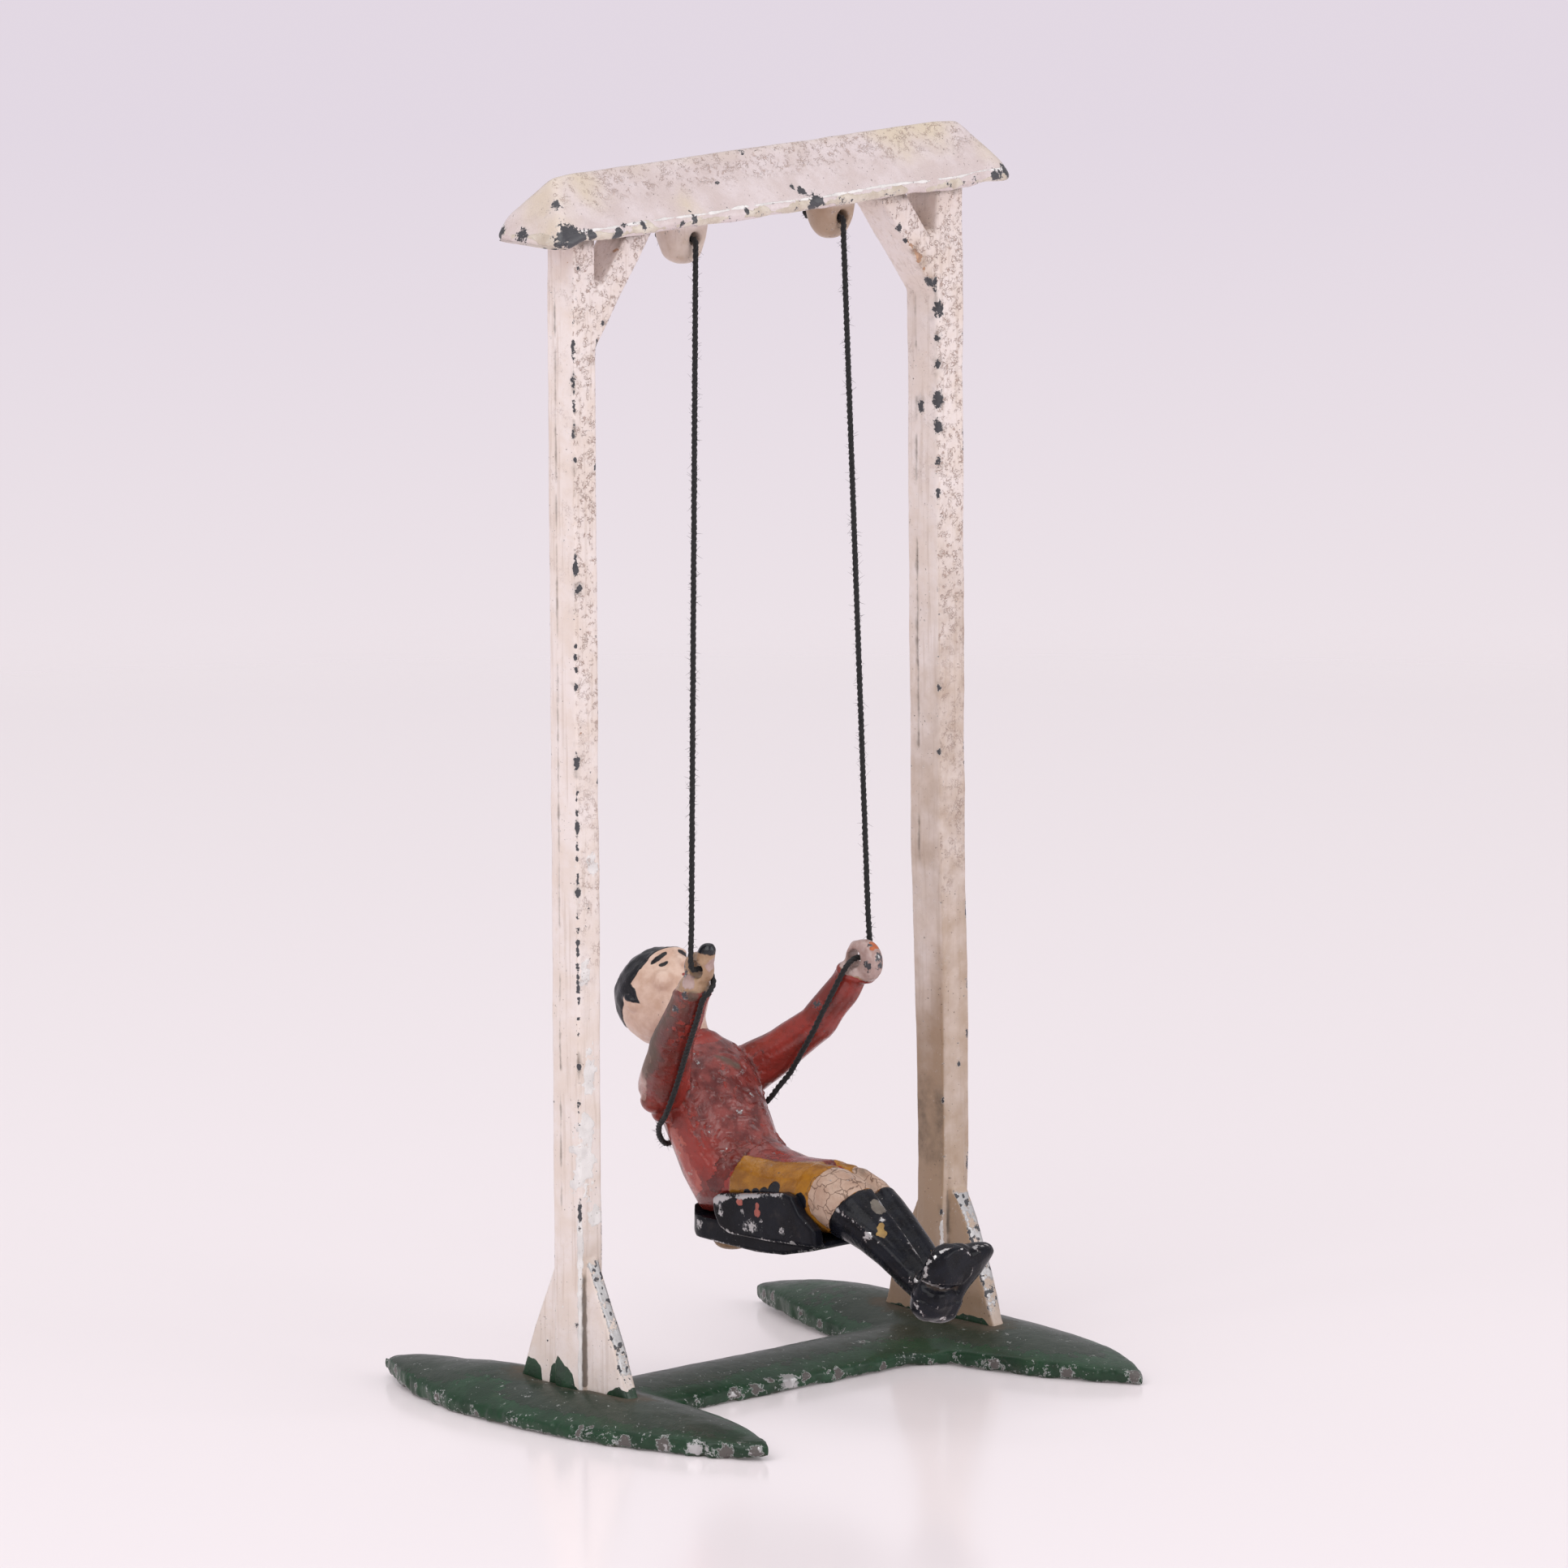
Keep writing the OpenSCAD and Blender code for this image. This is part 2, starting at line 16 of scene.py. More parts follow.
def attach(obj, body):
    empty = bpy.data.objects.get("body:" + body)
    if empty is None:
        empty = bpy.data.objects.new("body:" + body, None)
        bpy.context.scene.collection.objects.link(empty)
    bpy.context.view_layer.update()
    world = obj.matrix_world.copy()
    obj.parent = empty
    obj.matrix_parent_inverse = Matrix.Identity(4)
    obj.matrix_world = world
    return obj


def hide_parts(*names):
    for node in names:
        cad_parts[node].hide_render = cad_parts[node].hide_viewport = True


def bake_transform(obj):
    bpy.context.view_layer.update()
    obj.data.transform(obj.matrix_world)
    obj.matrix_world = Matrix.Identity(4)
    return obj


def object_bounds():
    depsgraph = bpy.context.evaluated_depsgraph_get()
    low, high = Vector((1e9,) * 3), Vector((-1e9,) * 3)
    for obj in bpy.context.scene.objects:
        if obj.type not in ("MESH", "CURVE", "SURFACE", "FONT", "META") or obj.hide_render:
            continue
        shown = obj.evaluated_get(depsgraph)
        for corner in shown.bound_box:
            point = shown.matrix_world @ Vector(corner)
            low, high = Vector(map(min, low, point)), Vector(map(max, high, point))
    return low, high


MM = 0.001
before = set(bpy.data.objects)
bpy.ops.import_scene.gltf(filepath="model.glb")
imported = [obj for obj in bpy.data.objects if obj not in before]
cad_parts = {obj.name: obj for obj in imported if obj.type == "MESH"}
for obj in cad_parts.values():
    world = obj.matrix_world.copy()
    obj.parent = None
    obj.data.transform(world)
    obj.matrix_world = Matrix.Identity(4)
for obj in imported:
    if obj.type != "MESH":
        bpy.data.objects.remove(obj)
cad_low, cad_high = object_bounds()
low_mm = np.array(cad_low) / MM
high_mm = np.array(cad_high) / MM

# Sizes that the looks share with the model, in millimetres
hip = np.array([0, 1.29, 16.05])
head_at = np.array([0, 11.3, 15.3])
head_lean = math.radians(57)
head_up = np.array([0, math.sin(head_lean), math.cos(head_lean)])
head_ahead = np.array([0, -math.cos(head_lean), math.sin(head_lean)])
post_x = 20.9
post_side_x = 1.4
post_front_y = -1.65
fin_side_x = 0.65
roof_low_z = 99.9
lug_x = 8.4
pivot_z = 97.0
bore_z = 98.35
hang_y = -2.11
knot_y = 2.47
thread_r = 0.27


# Noise and mesh tools

def lattice(cells, seed):
    """A number from -1 to 1 for each cell of a lattice, the same on each run."""
    mixed = cells[:, 0] * 73856093 ^ cells[:, 1] * 19349663 ^ cells[:, 2] * 83492791 ^ seed * 6542989
    mixed = (mixed & 0x7FFFFFFF) * 1274126177
    mixed = (mixed >> 12) & 0xFFFF
    return mixed / 32767.5 - 1


def lumps(points, size, seed=0):
    """Smooth noise from -1 to 1 with lumps of that size. The size is a number or one for each axis."""
    at = points / size + 0.37 * seed
    cell = np.floor(at).astype(np.int64)
    share = at - cell
    share = share * share * (3 - 2 * share)
    total = np.zeros(len(points))
    for corner in np.ndindex(2, 2, 2):
        part = np.prod(np.where(np.array(corner) == 1, share, 1 - share), axis=1)
        total += part * lattice(cell + np.array(corner), seed)
    return total


def step(value, low, high):
    """0 below low, 1 above high and smooth between them. With low above high it falls instead."""
    t = np.clip((value - low) / (high - low), 0, 1)
    return t * t * (3 - 2 * t)


def read(items, name, width, kind=np.float32):
    """A row of numbers for each vertex, edge or face."""
    flat = np.empty(len(items) * width, kind)
    items.foreach_get(name, flat)
    return flat.reshape(-1, width)


def points_of(mesh):
    return read(mesh.vertices, "co", 3).astype(float)


def normals_of(mesh):
    return read(mesh.vertex_normals, "vector", 3).astype(float)


def set_points(mesh, points):
    mesh.vertices.foreach_set("co", points.astype(np.float32).ravel())
    mesh.update()


def edges_of(mesh):
    return read(mesh.edges, "vertices", 2, np.int64)


def relax(points, edges, rounds, pull=0.5):
    """Each point drawn towards the mean of its neighbours, a number of times."""
    first, second = edges.T
    count = len(points)
    degree = np.maximum(np.bincount(edges.ravel(), minlength=count), 1)[:, None]
    for _ in range(rounds):
        total = np.empty_like(points)
        for axis in range(3):
            total[:, axis] = np.bincount(first, points[second, axis], count)
            total[:, axis] += np.bincount(second, points[first, axis], count)
        points = points + pull * (total / degree - points)
    return points


def paint_maps(mesh, **maps):
    """Keeps numbers for each point, which a material reads by their names."""
    for name, values in maps.items():
        layer = mesh.attributes.new(name, "FLOAT", "POINT")
        layer.data.foreach_set("value", np.float32(values) + np.zeros(len(mesh.vertices), np.float32))


def near(points, spots, tall=1.0, grown=1.0):
    """How close each point is to the nearest of the spots (x, y, z, radius): 1 at a centre, 0 outside.
    Tall draws the spots out upwards, and grown is a scale for every radius."""
    value = np.zeros(len(points))
    for x, y, z, radius in spots:
        away = np.linalg.norm((points - np.array([x, y, z])) * [1, 1, 1 / tall], axis=1)
        value = np.maximum(value, 1 - away / (grown * radius))
    return value


def away_from(points, start, end):
    """Distance of each point to the straight line between two places."""
    start, end = np.array(start, float), np.array(end, float)
    along = end - start
    share = np.clip((points - start) @ along / (along @ along), 0, 1)
    return np.linalg.norm(points - start - share[:, None] * along, axis=1)


def near_line(points, line, radius):
    """How close each point is to a line through places: 1 on it, 0 outside the radius."""
    away = np.min([away_from(points, *ends) for ends in zip(line[:-1], line[1:])], axis=0)
    return np.maximum(0, 1 - away / radius)


def hump(value, width):
    """1 where the value is 0, falling to 0 on both sides."""
    return np.exp(-((value / width) ** 2))


def mesh_from(build, name):
    mesh = bpy.data.meshes.new(name)
    build.to_mesh(mesh)
    build.free()
    return mesh


def in_scene(name, data):
    item = bpy.data.objects.new(name, data)
    bpy.context.scene.collection.objects.link(item)
    return item


def node_in_mm(name):
    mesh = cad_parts[name].data.copy()
    mesh.transform(Matrix.Scale(1 / MM, 4))
    return mesh


def ball(at, radii, up=(0, 0, 1)):
    """A closed ellipsoid. Its third radius lies along up."""
    build = bmesh.new()
    bmesh.ops.create_icosphere(build, subdivisions=3, radius=1)
    turn = Vector(up).to_track_quat("Z", "Y").to_matrix().to_4x4()
    size = Matrix.Diagonal((*radii, 1))
    bmesh.ops.transform(build, matrix=Matrix.Translation(Vector(at)) @ turn @ size, verts=build.verts)
    return mesh_from(build, "shape")


def beads(path, radii, gap=0.3):
    """Balls along a path, close enough to fuse into one limb."""
    shapes = []
    for start, end, first, last in zip(path[:-1], path[1:], radii[:-1], radii[1:]):
        start, end = np.array(start, float), np.array(end, float)
        count = max(1, math.ceil(np.linalg.norm(end - start) / (gap * min(first, last))))
        for i in range(count + 1):
            share = i / count
            radius = first + (last - first) * share
            shapes.append(ball(start + (end - start) * share, (radius,) * 3))
    return shapes


def fused(name, shapes, voxel, rounds):
    """One closed skin in millimetres over closed shapes, with the soft edges of a painted casting."""
    build = bmesh.new()
    for mesh in shapes:
        build.from_mesh(mesh)
        bpy.data.meshes.remove(mesh)
    mesh = mesh_from(build, name)
    holder = in_scene(name, mesh)
    skin = holder.modifiers.new("skin", "REMESH")
    skin.mode = "VOXEL"
    skin.voxel_size = voxel
    depsgraph = bpy.context.evaluated_depsgraph_get()
    result = bpy.data.meshes.new_from_object(holder.evaluated_get(depsgraph))
    result.name = name
    bpy.data.objects.remove(holder)
    bpy.data.meshes.remove(mesh)
    set_points(result, relax(points_of(result), edges_of(result), rounds))
    return result


def edge_map(mesh, rounds=10, scale=0.1):
    """Above 0 on outer edges, below 0 in hollows and near 0 on flat faces."""
    points = points_of(mesh)
    inward = points - relax(points, edges_of(mesh), rounds)
    return (inward * normals_of(mesh)).sum(axis=1) / scale


def shift(mesh, amount):
    """Moves each point out along its normal, and keeps it inside the model's box."""
    points = points_of(mesh) + normals_of(mesh) * amount[:, None]
    set_points(mesh, np.clip(points, low_mm, high_mm))


def cast_grain(points, seed):
    """The waves and fine roughness of a casting under thick enamel."""
    waves = 0.05 * lumps(points, 4.5, seed) + 0.025 * lumps(points, 1.7, seed + 1)
    return waves + 0.011 * lumps(points, 0.6, seed + 2)


def placed(mesh, name, body, nodes, material):
    """The finished piece: in metres, smooth, in place of its CAD nodes and on their body."""
    mesh.name = name
    mesh.transform(Matrix.Scale(MM, 4))
    mesh.shade_smooth()
    mesh.materials.clear()
    mesh.materials.append(material)
    piece = in_scene(name, mesh)
    if body:
        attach(piece, body)
    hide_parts(*nodes)
    return piece


def parted(mesh, nodes):
    """The skin divided into one mesh a node, by which node's solid is nearest, with unbroken shading."""
    trees = []
    for name in nodes:
        solid = node_in_mm(name)
        faces = [p.vertices for p in solid.polygons]
        trees.append(BVHTree.FromPolygons([v.co for v in solid.vertices], faces))
        bpy.data.meshes.remove(solid)
    centres = read(mesh.polygons, "center", 3)
    owner = [min((tree.find_nearest(c)[3], i) for i, tree in enumerate(trees))[1] for c in centres]
    owner = np.array(owner)
    result = {}
    for i, name in enumerate(nodes):
        build = bmesh.new()
        build.from_mesh(mesh)
        build.faces.ensure_lookup_table()
        kept = build.verts.layers.float_vector.new("kept_normal")
        for vert in build.verts:
            vert[kept] = vert.normal
        extra = [build.faces[k] for k in np.flatnonzero(owner != i)]
        bmesh.ops.delete(build, geom=extra, context="FACES")
        part = mesh_from(build, name)
        part.shade_smooth()
        normals = read(part.attributes["kept_normal"].data, "vector", 3)
        part.normals_split_custom_set_from_vertices(normals.tolist())
        part.attributes.remove(part.attributes["kept_normal"])
        result[name] = part
    bpy.data.meshes.remove(mesh)
    return result


# Materials

class Nodes:
    """Short calls that build the node tree of a material or a world. Sizes are in millimetres."""

    def __init__(self, owner, place="Object"):
        self.owner = owner
        owner.use_nodes = True
        owner.node_tree.nodes.clear()
        self.place = self.add("TexCoord").outputs[place]

    def add(self, kind, inputs=(), **settings):
        """A node. Inputs pairs its sockets with numbers, colours or the sockets that feed them."""
        node = self.owner.node_tree.nodes.new("ShaderNode" + kind)
        for name, value in settings.items():
            setattr(node, name, value)
        for key, value in dict(inputs).items():
            socket = node.inputs[key]
            if isinstance(value, bpy.types.NodeSocket):
                self.owner.node_tree.links.new(value, socket)
            else:
                socket.default_value = (*value, 1) if socket.type == "RGBA" else value
        return node

    def sum(self, operation, *values):
        return self.add("Math", enumerate(values), operation=operation).outputs[0]

    def times(self, first, second, plus=0.0):
        return self.sum("MULTIPLY_ADD", first, second, plus)

    def noise(self, size, seed=0.0, detail=3.0, rough=0.55, place=None):
        inputs = {"Vector": place or self.place, "W": seed, "Scale": 1 / (size * MM)}
        inputs.update({"Detail": detail, "Roughness": rough})
        return self.add("TexNoise", inputs, noise_dimensions="4D").outputs["Fac"]

    def cracks(self, size):
        """Distance to the nearest line of a net of crooked cells, 0 on the line."""
        inputs = {"Vector": self.place, "Scale": 1.6 / (size * MM)}
        wobble = self.add("TexNoise", inputs, noise_dimensions="3D").outputs["Color"]
        inputs = {0: wobble, 1: (size * MM * 0.9,) * 3, 2: self.place}
        bent = self.add("VectorMath", inputs, operation="MULTIPLY_ADD").outputs[0]
        inputs = {"Vector": bent, "W": 0.0, "Scale": 1 / (size * MM)}
        node = self.add("TexVoronoi", inputs, voronoi_dimensions="4D", feature="DISTANCE_TO_EDGE")
        return node.outputs["Distance"]

    def wrinkles(self, size, seed, width):
        """1 on thin lines that wander like the wrinkles of old paint."""
        away = self.sum("ABSOLUTE", self.sum("SUBTRACT", self.noise(size, seed, 1.5), 0.5))
        return self.ramp(away, width, width * 0.3)

    def map(self, name):
        return self.add("Attribute", attribute_name=name).outputs["Fac"]

    def ramp(self, value, low, high):
        """0 below low and 1 above high. With low above high it falls instead."""
        ends = (low, high, 0.0, 1.0) if low < high else (high, low, 1.0, 0.0)
        node = self.add("MapRange", enumerate((value, *ends)), interpolation_type="SMOOTHSTEP")
        return node.outputs["Result"]

    def blend(self, share, first, second):
        inputs = {0: share, 6: first, 7: second}
        return self.add("Mix", inputs, data_type="RGBA", clamp_factor=True).outputs[2]

    def finish(self, colour, rough, metal, height, **constants):
        """The shader. Height is in millimetres, constants are the same all over the surface."""
        bump = self.add("Bump", {"Distance": MM, "Height": height}).outputs["Normal"]
        inputs = {"Base Color": colour, "Roughness": rough, "Metallic": metal, "Normal": bump}
        inputs.update((name.replace("_", " "), value) for name, value in constants.items())
        self.add("OutputMaterial", {"Surface": self.add("BsdfPrincipled", inputs).outputs[0]})
        return self.owner


crack_tone = (0.10, 0.055, 0.035)
wrinkle_tone = (0.40, 0.27, 0.22)
speck_tone = (0.10, 0.07, 0.055)
dirt_tone = (0.10, 0.07, 0.05)
dust_tone = (0.105, 0.080, 0.058)
bright_lead = (0.50, 0.49, 0.49)


def enamel(name, tones, coats=(), gloss=0.34, bare=0.6, shine=0.35, grime=0.55, wrinkled=0.0,
           cracked=0.0, specks=0.0, halo=0.3, streak=0.0, relief=0.03, mirror=0.5,
           warm=(0.6, 0.45, 0.34), lead=(0.055, 0.055, 0.062)):
    """Old enamel over lead, in a lighter and a darker tone. Each coat is a paint map, above 0 where it
    covers, its two tones and the ragged width of its border. Wrinkles and cracks come where the map
    "crazed" allows them. Bare is how far the wear goes before metal shows, shine the share of it that is
    bright, halo the pale rim round a chip, and relief the height of the fine roughness."""
    n = Nodes(bpy.data.materials.new(name))
    fine = n.noise(0.45, 2.0, detail=5.0)
    colour = n.blend(n.ramp(n.noise(3.2, 1.0), 0.35, 0.65), *tones)
    colour = n.blend(n.ramp(fine, 0.5, 0.8), colour, tones[1])
    if streak:
        tall = n.add("VectorMath", {0: n.place, 1: (1, 1, 0.05)}, operation="MULTIPLY").outputs[0]
        drawn = n.ramp(n.noise(0.4, 3.0, rough=0.5, place=tall), 0.52, 0.66)
        colour = n.blend(n.times(drawn, streak), colour, warm)
    warmed = n.ramp(n.times(n.noise(1.8, 4.0), 0.6, n.map("warm")), 0.35, 1.25)
    colour = n.blend(warmed, colour, warm)
    rim = 0.0
    for number, (layer, (light, dark), ragged) in enumerate(coats):
        wobble = n.sum("SUBTRACT", n.noise(0.7, 10.0 + number), 0.5)
        reach = n.times(wobble, ragged, n.map(layer))
        toned = n.blend(n.ramp(n.noise(1.3, 20.0 + number), 0.35, 0.65), light, dark)
        colour = n.blend(n.ramp(reach, -0.03, 0.03), colour, toned)
        rim = n.times(n.ramp(reach, -0.02, 0.08), 0.03, rim)
    patch = n.ramp(n.times(n.noise(2.4, 6.0), 0.8, n.map("crazed")), 0.55, 1.0)
    lines = 0.0
    if wrinkled:
        folds = n.sum("MAXIMUM", n.wrinkles(0.38, 30.0, 0.034), n.wrinkles(0.27, 31.0, 0.026))
        folds = n.times(folds, n.ramp(n.noise(0.6, 32.0, 1.0), 0.46, 0.58))
        lines = n.times(n.times(folds, patch), wrinkled)
        colour = n.blend(lines, colour, wrinkle_tone)
    if cracked:
        net = n.times(n.times(n.ramp(n.cracks(1.5), 0.038, 0.01), patch), cracked)
        colour = n.blend(net, colour, crack_tone)
        lines = n.sum("MAXIMUM", lines, net)
    if specks:
        dots = n.ramp(n.noise(0.19, 33.0, detail=1.0), 0.70, 0.75)
        dots = n.times(n.times(dots, n.ramp(n.noise(2.0, 34.0), 0.4, 0.6)), specks)
        colour = n.blend(dots, colour, speck_tone)
        lines = n.sum("MAXIMUM", lines, dots)
    # Darker in hollows, where the edge map falls below 0.
    dirt = n.ramp(n.times(fine, 1.2, n.times(n.map("edge"), -1.0)), 0.85, 1.7)
    colour = n.blend(n.times(dirt, grime), colour, dirt_tone)
    # Darkening from the dust map, which holds real dust and stains and also painted shade in grooves, under
    # the roof and on faces turned from the light.
    dust = n.ramp(n.times(n.noise(1.1, 5.0, detail=5.0), 0.9, n.map("dust")), 0.55, 1.1)
    colour = n.blend(n.times(dust, 0.8), colour, dust_tone)
    torn = n.times(n.noise(0.9, 7.0, detail=7.0, rough=0.78), 2.2, n.map("wear"))
    torn = n.times(n.noise(0.33, 36.0, detail=4.0, rough=0.7), 1.8, torn)
    limit = 2.0 + bare
    inner = n.ramp(torn, limit - 0.02, limit + 0.04)
    outline = n.sum("SUBTRACT", n.ramp(torn, limit - 0.16, limit - 0.05), inner)
    pale = tuple(0.5 + 0.5 * tone for tone in tones[0])
    colour = n.blend(n.times(outline, halo), colour, pale)
    worn = n.ramp(torn, limit - 0.015, limit + 0.015)
    gleam = n.sum("ADD", n.noise(0.3, 8.0, detail=5.0), n.map("silver"))
    bright = n.ramp(gleam, 1.0 - shine, 1.12 - shine)
    colour = n.blend(worn, colour, n.blend(bright, lead, bright_lead))
    rough = n.times(fine, 0.22, gloss - 0.11)
    for layer, share in ((dirt, 0.25), (dust, 0.4), (worn, 0.08)):
        rough = n.times(layer, share, rough)
    height = n.times(n.noise(0.32, 9.0), relief, rim)
    height = n.times(worn, -0.06, n.times(lines, -0.045, height))
    metal = n.times(n.times(worn, bright), 0.8)
    return n.finish(
        colour, rough, metal, height, Specular_IOR_Level=mirror, Coat_Weight=0.1, Coat_Roughness=0.1
    )


cream_tones = ((0.83, 0.745, 0.71), (0.77, 0.66, 0.59))
roof_tones = ((0.70, 0.61, 0.61), (0.61, 0.51, 0.49))
green_tones = ((0.013, 0.052, 0.022), (0.009, 0.031, 0.014))
film_tones = ((0.024, 0.038, 0.025), (0.014, 0.027, 0.016))
red_tones = ((0.31, 0.036, 0.026), (0.16, 0.024, 0.018))
rose_tones = ((0.27, 0.062, 0.054), (0.12, 0.022, 0.020))
ochre_tones = ((0.36, 0.155, 0.018), (0.24, 0.095, 0.013))
flesh_tones = ((0.72, 0.53, 0.43), (0.60, 0.40, 0.30))
knee_tones = ((0.50, 0.36, 0.28), (0.41, 0.27, 0.20))
hand_tones = ((0.44, 0.29, 0.18), (0.33, 0.20, 0.12))
black_tones = ((0.009, 0.010, 0.015), (0.005, 0.005, 0.007))
white_tones = ((0.84, 0.81, 0.79), (0.70, 0.67, 0.65))
eave_tones = ((0.68, 0.61, 0.52), (0.54, 0.46, 0.37))
rust_tones = ((0.56, 0.34, 0.21), (0.40, 0.22, 0.13))
lip_tones = ((0.33, 0.09, 0.07), (0.25, 0.06, 0.05))
salmon_tones = ((0.46, 0.14, 0.11), (0.34, 0.1, 0.08))

cream = enamel(
    "aged_cream_enamel", cream_tones,
    [("to_white", white_tones, 1.2), ("to_rust", rust_tones, 2.2), ("to_green", green_tones, 0.5)],
    gloss=0.38, bare=0.5, grime=0.6, wrinkled=0.85, specks=0.95, streak=0.22, warm=(0.38, 0.26, 0.17),
)
# On the roof the white coat is a painted highlight along the eave lips.
roof_cream = enamel(
    "aged_roof_enamel", roof_tones, [("to_cream", eave_tones, 0.9), ("to_white", white_tones, 1.6)],
    gloss=0.28, bare=0.5, grime=0.5, wrinkled=0.65, specks=0.9, warm=(0.66, 0.56, 0.44),
)
green = enamel(
    "green_enamel", green_tones, [("to_film", film_tones, 1.9)], gloss=0.4, bare=0.5, shine=0.42, grime=0.3,
    specks=0.5, halo=0.9, mirror=0.3, lead=(0.105, 0.095, 0.088),
)
boy_coats = [
    ("to_rose", rose_tones, 2.2),
    ("to_maroon", ((0.16, 0.022, 0.016), (0.10, 0.015, 0.012)), 2.0),
    ("to_coral", ((0.46, 0.105, 0.075), (0.36, 0.055, 0.04)), 1.6),
    ("to_pale", ((0.55, 0.36, 0.31), (0.40, 0.20, 0.17)), 1.0),
    ("to_shorts", ochre_tones, 0.5),
    ("to_flesh", flesh_tones, 0.3),
    ("to_knee", knee_tones, 0.5),
    ("to_hand", hand_tones, 0.6),
    ("to_grey_hand", ((0.52, 0.39, 0.36), (0.38, 0.25, 0.22)), 0.8),
    ("to_lips", lip_tones, 0.05),
    ("to_black", black_tones, 0.28),
    ("to_beige", ((0.17, 0.15, 0.125), (0.12, 0.10, 0.085)), 0.9),
    ("to_yellow", ((0.36, 0.23, 0.08), (0.26, 0.16, 0.06)), 1.3),
    ("to_rust", ((0.55, 0.16, 0.06), (0.40, 0.10, 0.04)), 0.8),
]
boy_paints = {
    slot_name: enamel(
        "boy_" + slot_name, red_tones, boy_coats, gloss=gloss, bare=0.55, shine=0.5, grime=0.5, cracked=0.7,
        specks=0.3, halo=0.15, relief=0.05, mirror=mirror,
    )
    for slot_name, gloss, mirror in (
        ("jersey_paint", 0.24, 0.45), ("shorts_paint", 0.28, 0.4), ("skin_paint", 0.33, 0.27),
        ("black_paint", 0.24, 0.12),
    )
}
seat_black = enamel(
    "seat_black_enamel", black_tones,
    [("to_salmon", salmon_tones, 1.2), ("to_beige", ((0.46, 0.31, 0.18), (0.34, 0.22, 0.14)), 0.6)],
    gloss=0.24, bare=0.55, shine=0.55, grime=0.2, halo=0.12, mirror=0.09,
)


# Frame: posts, braces, roof and lugs

def column(x, y, *spots):
    """Spots above each other at one x and y, each with its height and radius."""
    return [(x, y, *spot) for spot in spots]


left_corner_chips = column(
    -22.1, -1.6, (81.4, 0.5), (72.2, 0.6), (62.3, 0.4), (50.5, 0.45), (45.0, 0.5), (30.2, 0.4),
) + [
    (-22.3, -1.5, 90.8, 0.35), (-22.3, -1.5, 87.9, 0.6), (-22.3, -1.6, 83.6, 0.5), (-21.8, -1.6, 70.6, 0.75),
    (-22.2, -1.6, 55.8, 0.8), (-21.6, -1.6, 97.4, 0.3), (-22.2, -1.2, 8.2, 0.45), (-19.8, -1.6, 80.5, 0.4),
    (-19.7, -1.6, 54.0, 0.35),
]
right_corner_chips = column(
    19.3, -1.5, (89.4, 1.0), (86.9, 0.6), (84.6, 0.6), (81.6, 1.0), (79.3, 0.9), (76.3, 0.5), (73.6, 0.5),
    (57, 0.5), (51.5, 0.45), (21.5, 0.6), (11.8, 0.4),
) + [(19.1, 0.3, 80.8, 0.75), (19.1, 0.2, 18.8, 0.4), (21.2, -1.65, 24.4, 0.45)]
brace_chips = [
    (14.8, -1.6, 96.7, 0.6), (15.5, -1.5, 95.5, 0.4), (18.4, -1.6, 91.6, 0.8), (-18.9, -1.6, 92.5, 0.4),
]
roof_chips = [(x, -4.2, z, radius) for x, z, radius in (
    (-23.9, 100.6, 1.3), (-22.4, 100.6, 0.7), (-19.5, 100.4, 0.7), (-18.7, 100.9, 0.5), (-16.6, 100.8, 0.5),
    (-12.3, 100.4, 0.5), (-11, 100.5, 0.5), (-5, 100.6, 0.45), (2.9, 100.6, 1.4), (17.9, 100.4, 0.6),
    (23.6, 100.5, 1.0),
)] + [
    (-24.9, -4.1, 100.9, 1.9), (-24.1, -1.9, 103.2, 0.9), (-25.8, 0.9, 100.3, 1.2), (1.8, -3.6, 101.5, 0.8),
    (1.1, -3.2, 101.9, 0.5), (25.2, -4.1, 100.6, 1.3), (-6.4, -2.2, 102.9, 0.4), (-2, -0.4, 104.8, 0.5),
    (-25.7, 3.6, 100.2, 1.1), (25.5, 3.9, 100.5, 1.2), (-25.3, 4.1, 100.4, 1.3), (6, 4.2, 100.4, 1.0),
    (-14, 4.2, 100.5, 0.9),
]
post_pale = [
    (-21.6, -1.65, 21.5, 2.2), (-21.3, -1.65, 24.5, 1.6), (-20.2, -1.65, 17.2, 1.3), (-21.0, -1.65, 30, 1.5),
    (-21.3, -1.65, 38, 1.2), (-20.6, -1.65, 47, 1.0),
]
brace_rust = [
    (-17.4, -1.3, 98.7, 1.3), (17.6, -1.6, 93.4, 1.1), (18.3, -1.6, 92.0, 1.0), (16.6, -1.6, 94.6, 0.9),
]
roof_yellow = [
    (15, -1, 104.4, 4.0), (19, -0.6, 104.7, 4.0), (-24.6, 0, 103.4, 4.6), (-25.4, -2.5, 101, 3.6),
    (24.5, -2, 102, 3.0), (-20.5, -1.5, 103.5, 3.2), (-11, -3.4, 101.6, 2.2),
]
left_jags = [
    (-7.2, 2.9), (-6.4, 3.4), (-5.7, 3.8), (-5.2, 3.6), (-4.2, 3.0), (-3.8, 2.5), (-2.5, 2.6), (-1.5, 2.8),
    (-0.9, 3.1), (-0.7, 4.1), (-0.3, 4.5), (0.3, 4.9), (1.2, 5.4), (1.8, 4.6), (2.5, 4.5), (2.8, 4.1),
    (3.0, 2.7), (3.9, 2.7), (4.0, 4.0), (4.8, 4.5), (5.7, 4.6), (6.3, 3.4), (7.2, 3.4),
]
brace_rust_line = [(14.6, -1.65, 97.0), (16.0, -1.65, 95.2), (17.6, -1.65, 93.2), (18.8, -1.65, 91.2)]
fin_top = 14.4
foot_drop = 0.8
fin_bulge_z = (3, 6, 8.6, 11.4, 14.2, 17, 22, 28)
fin_bulge = (0.3, 0.5, 0.65, 0.8, 0.45, 0.2, 0.1, 0)


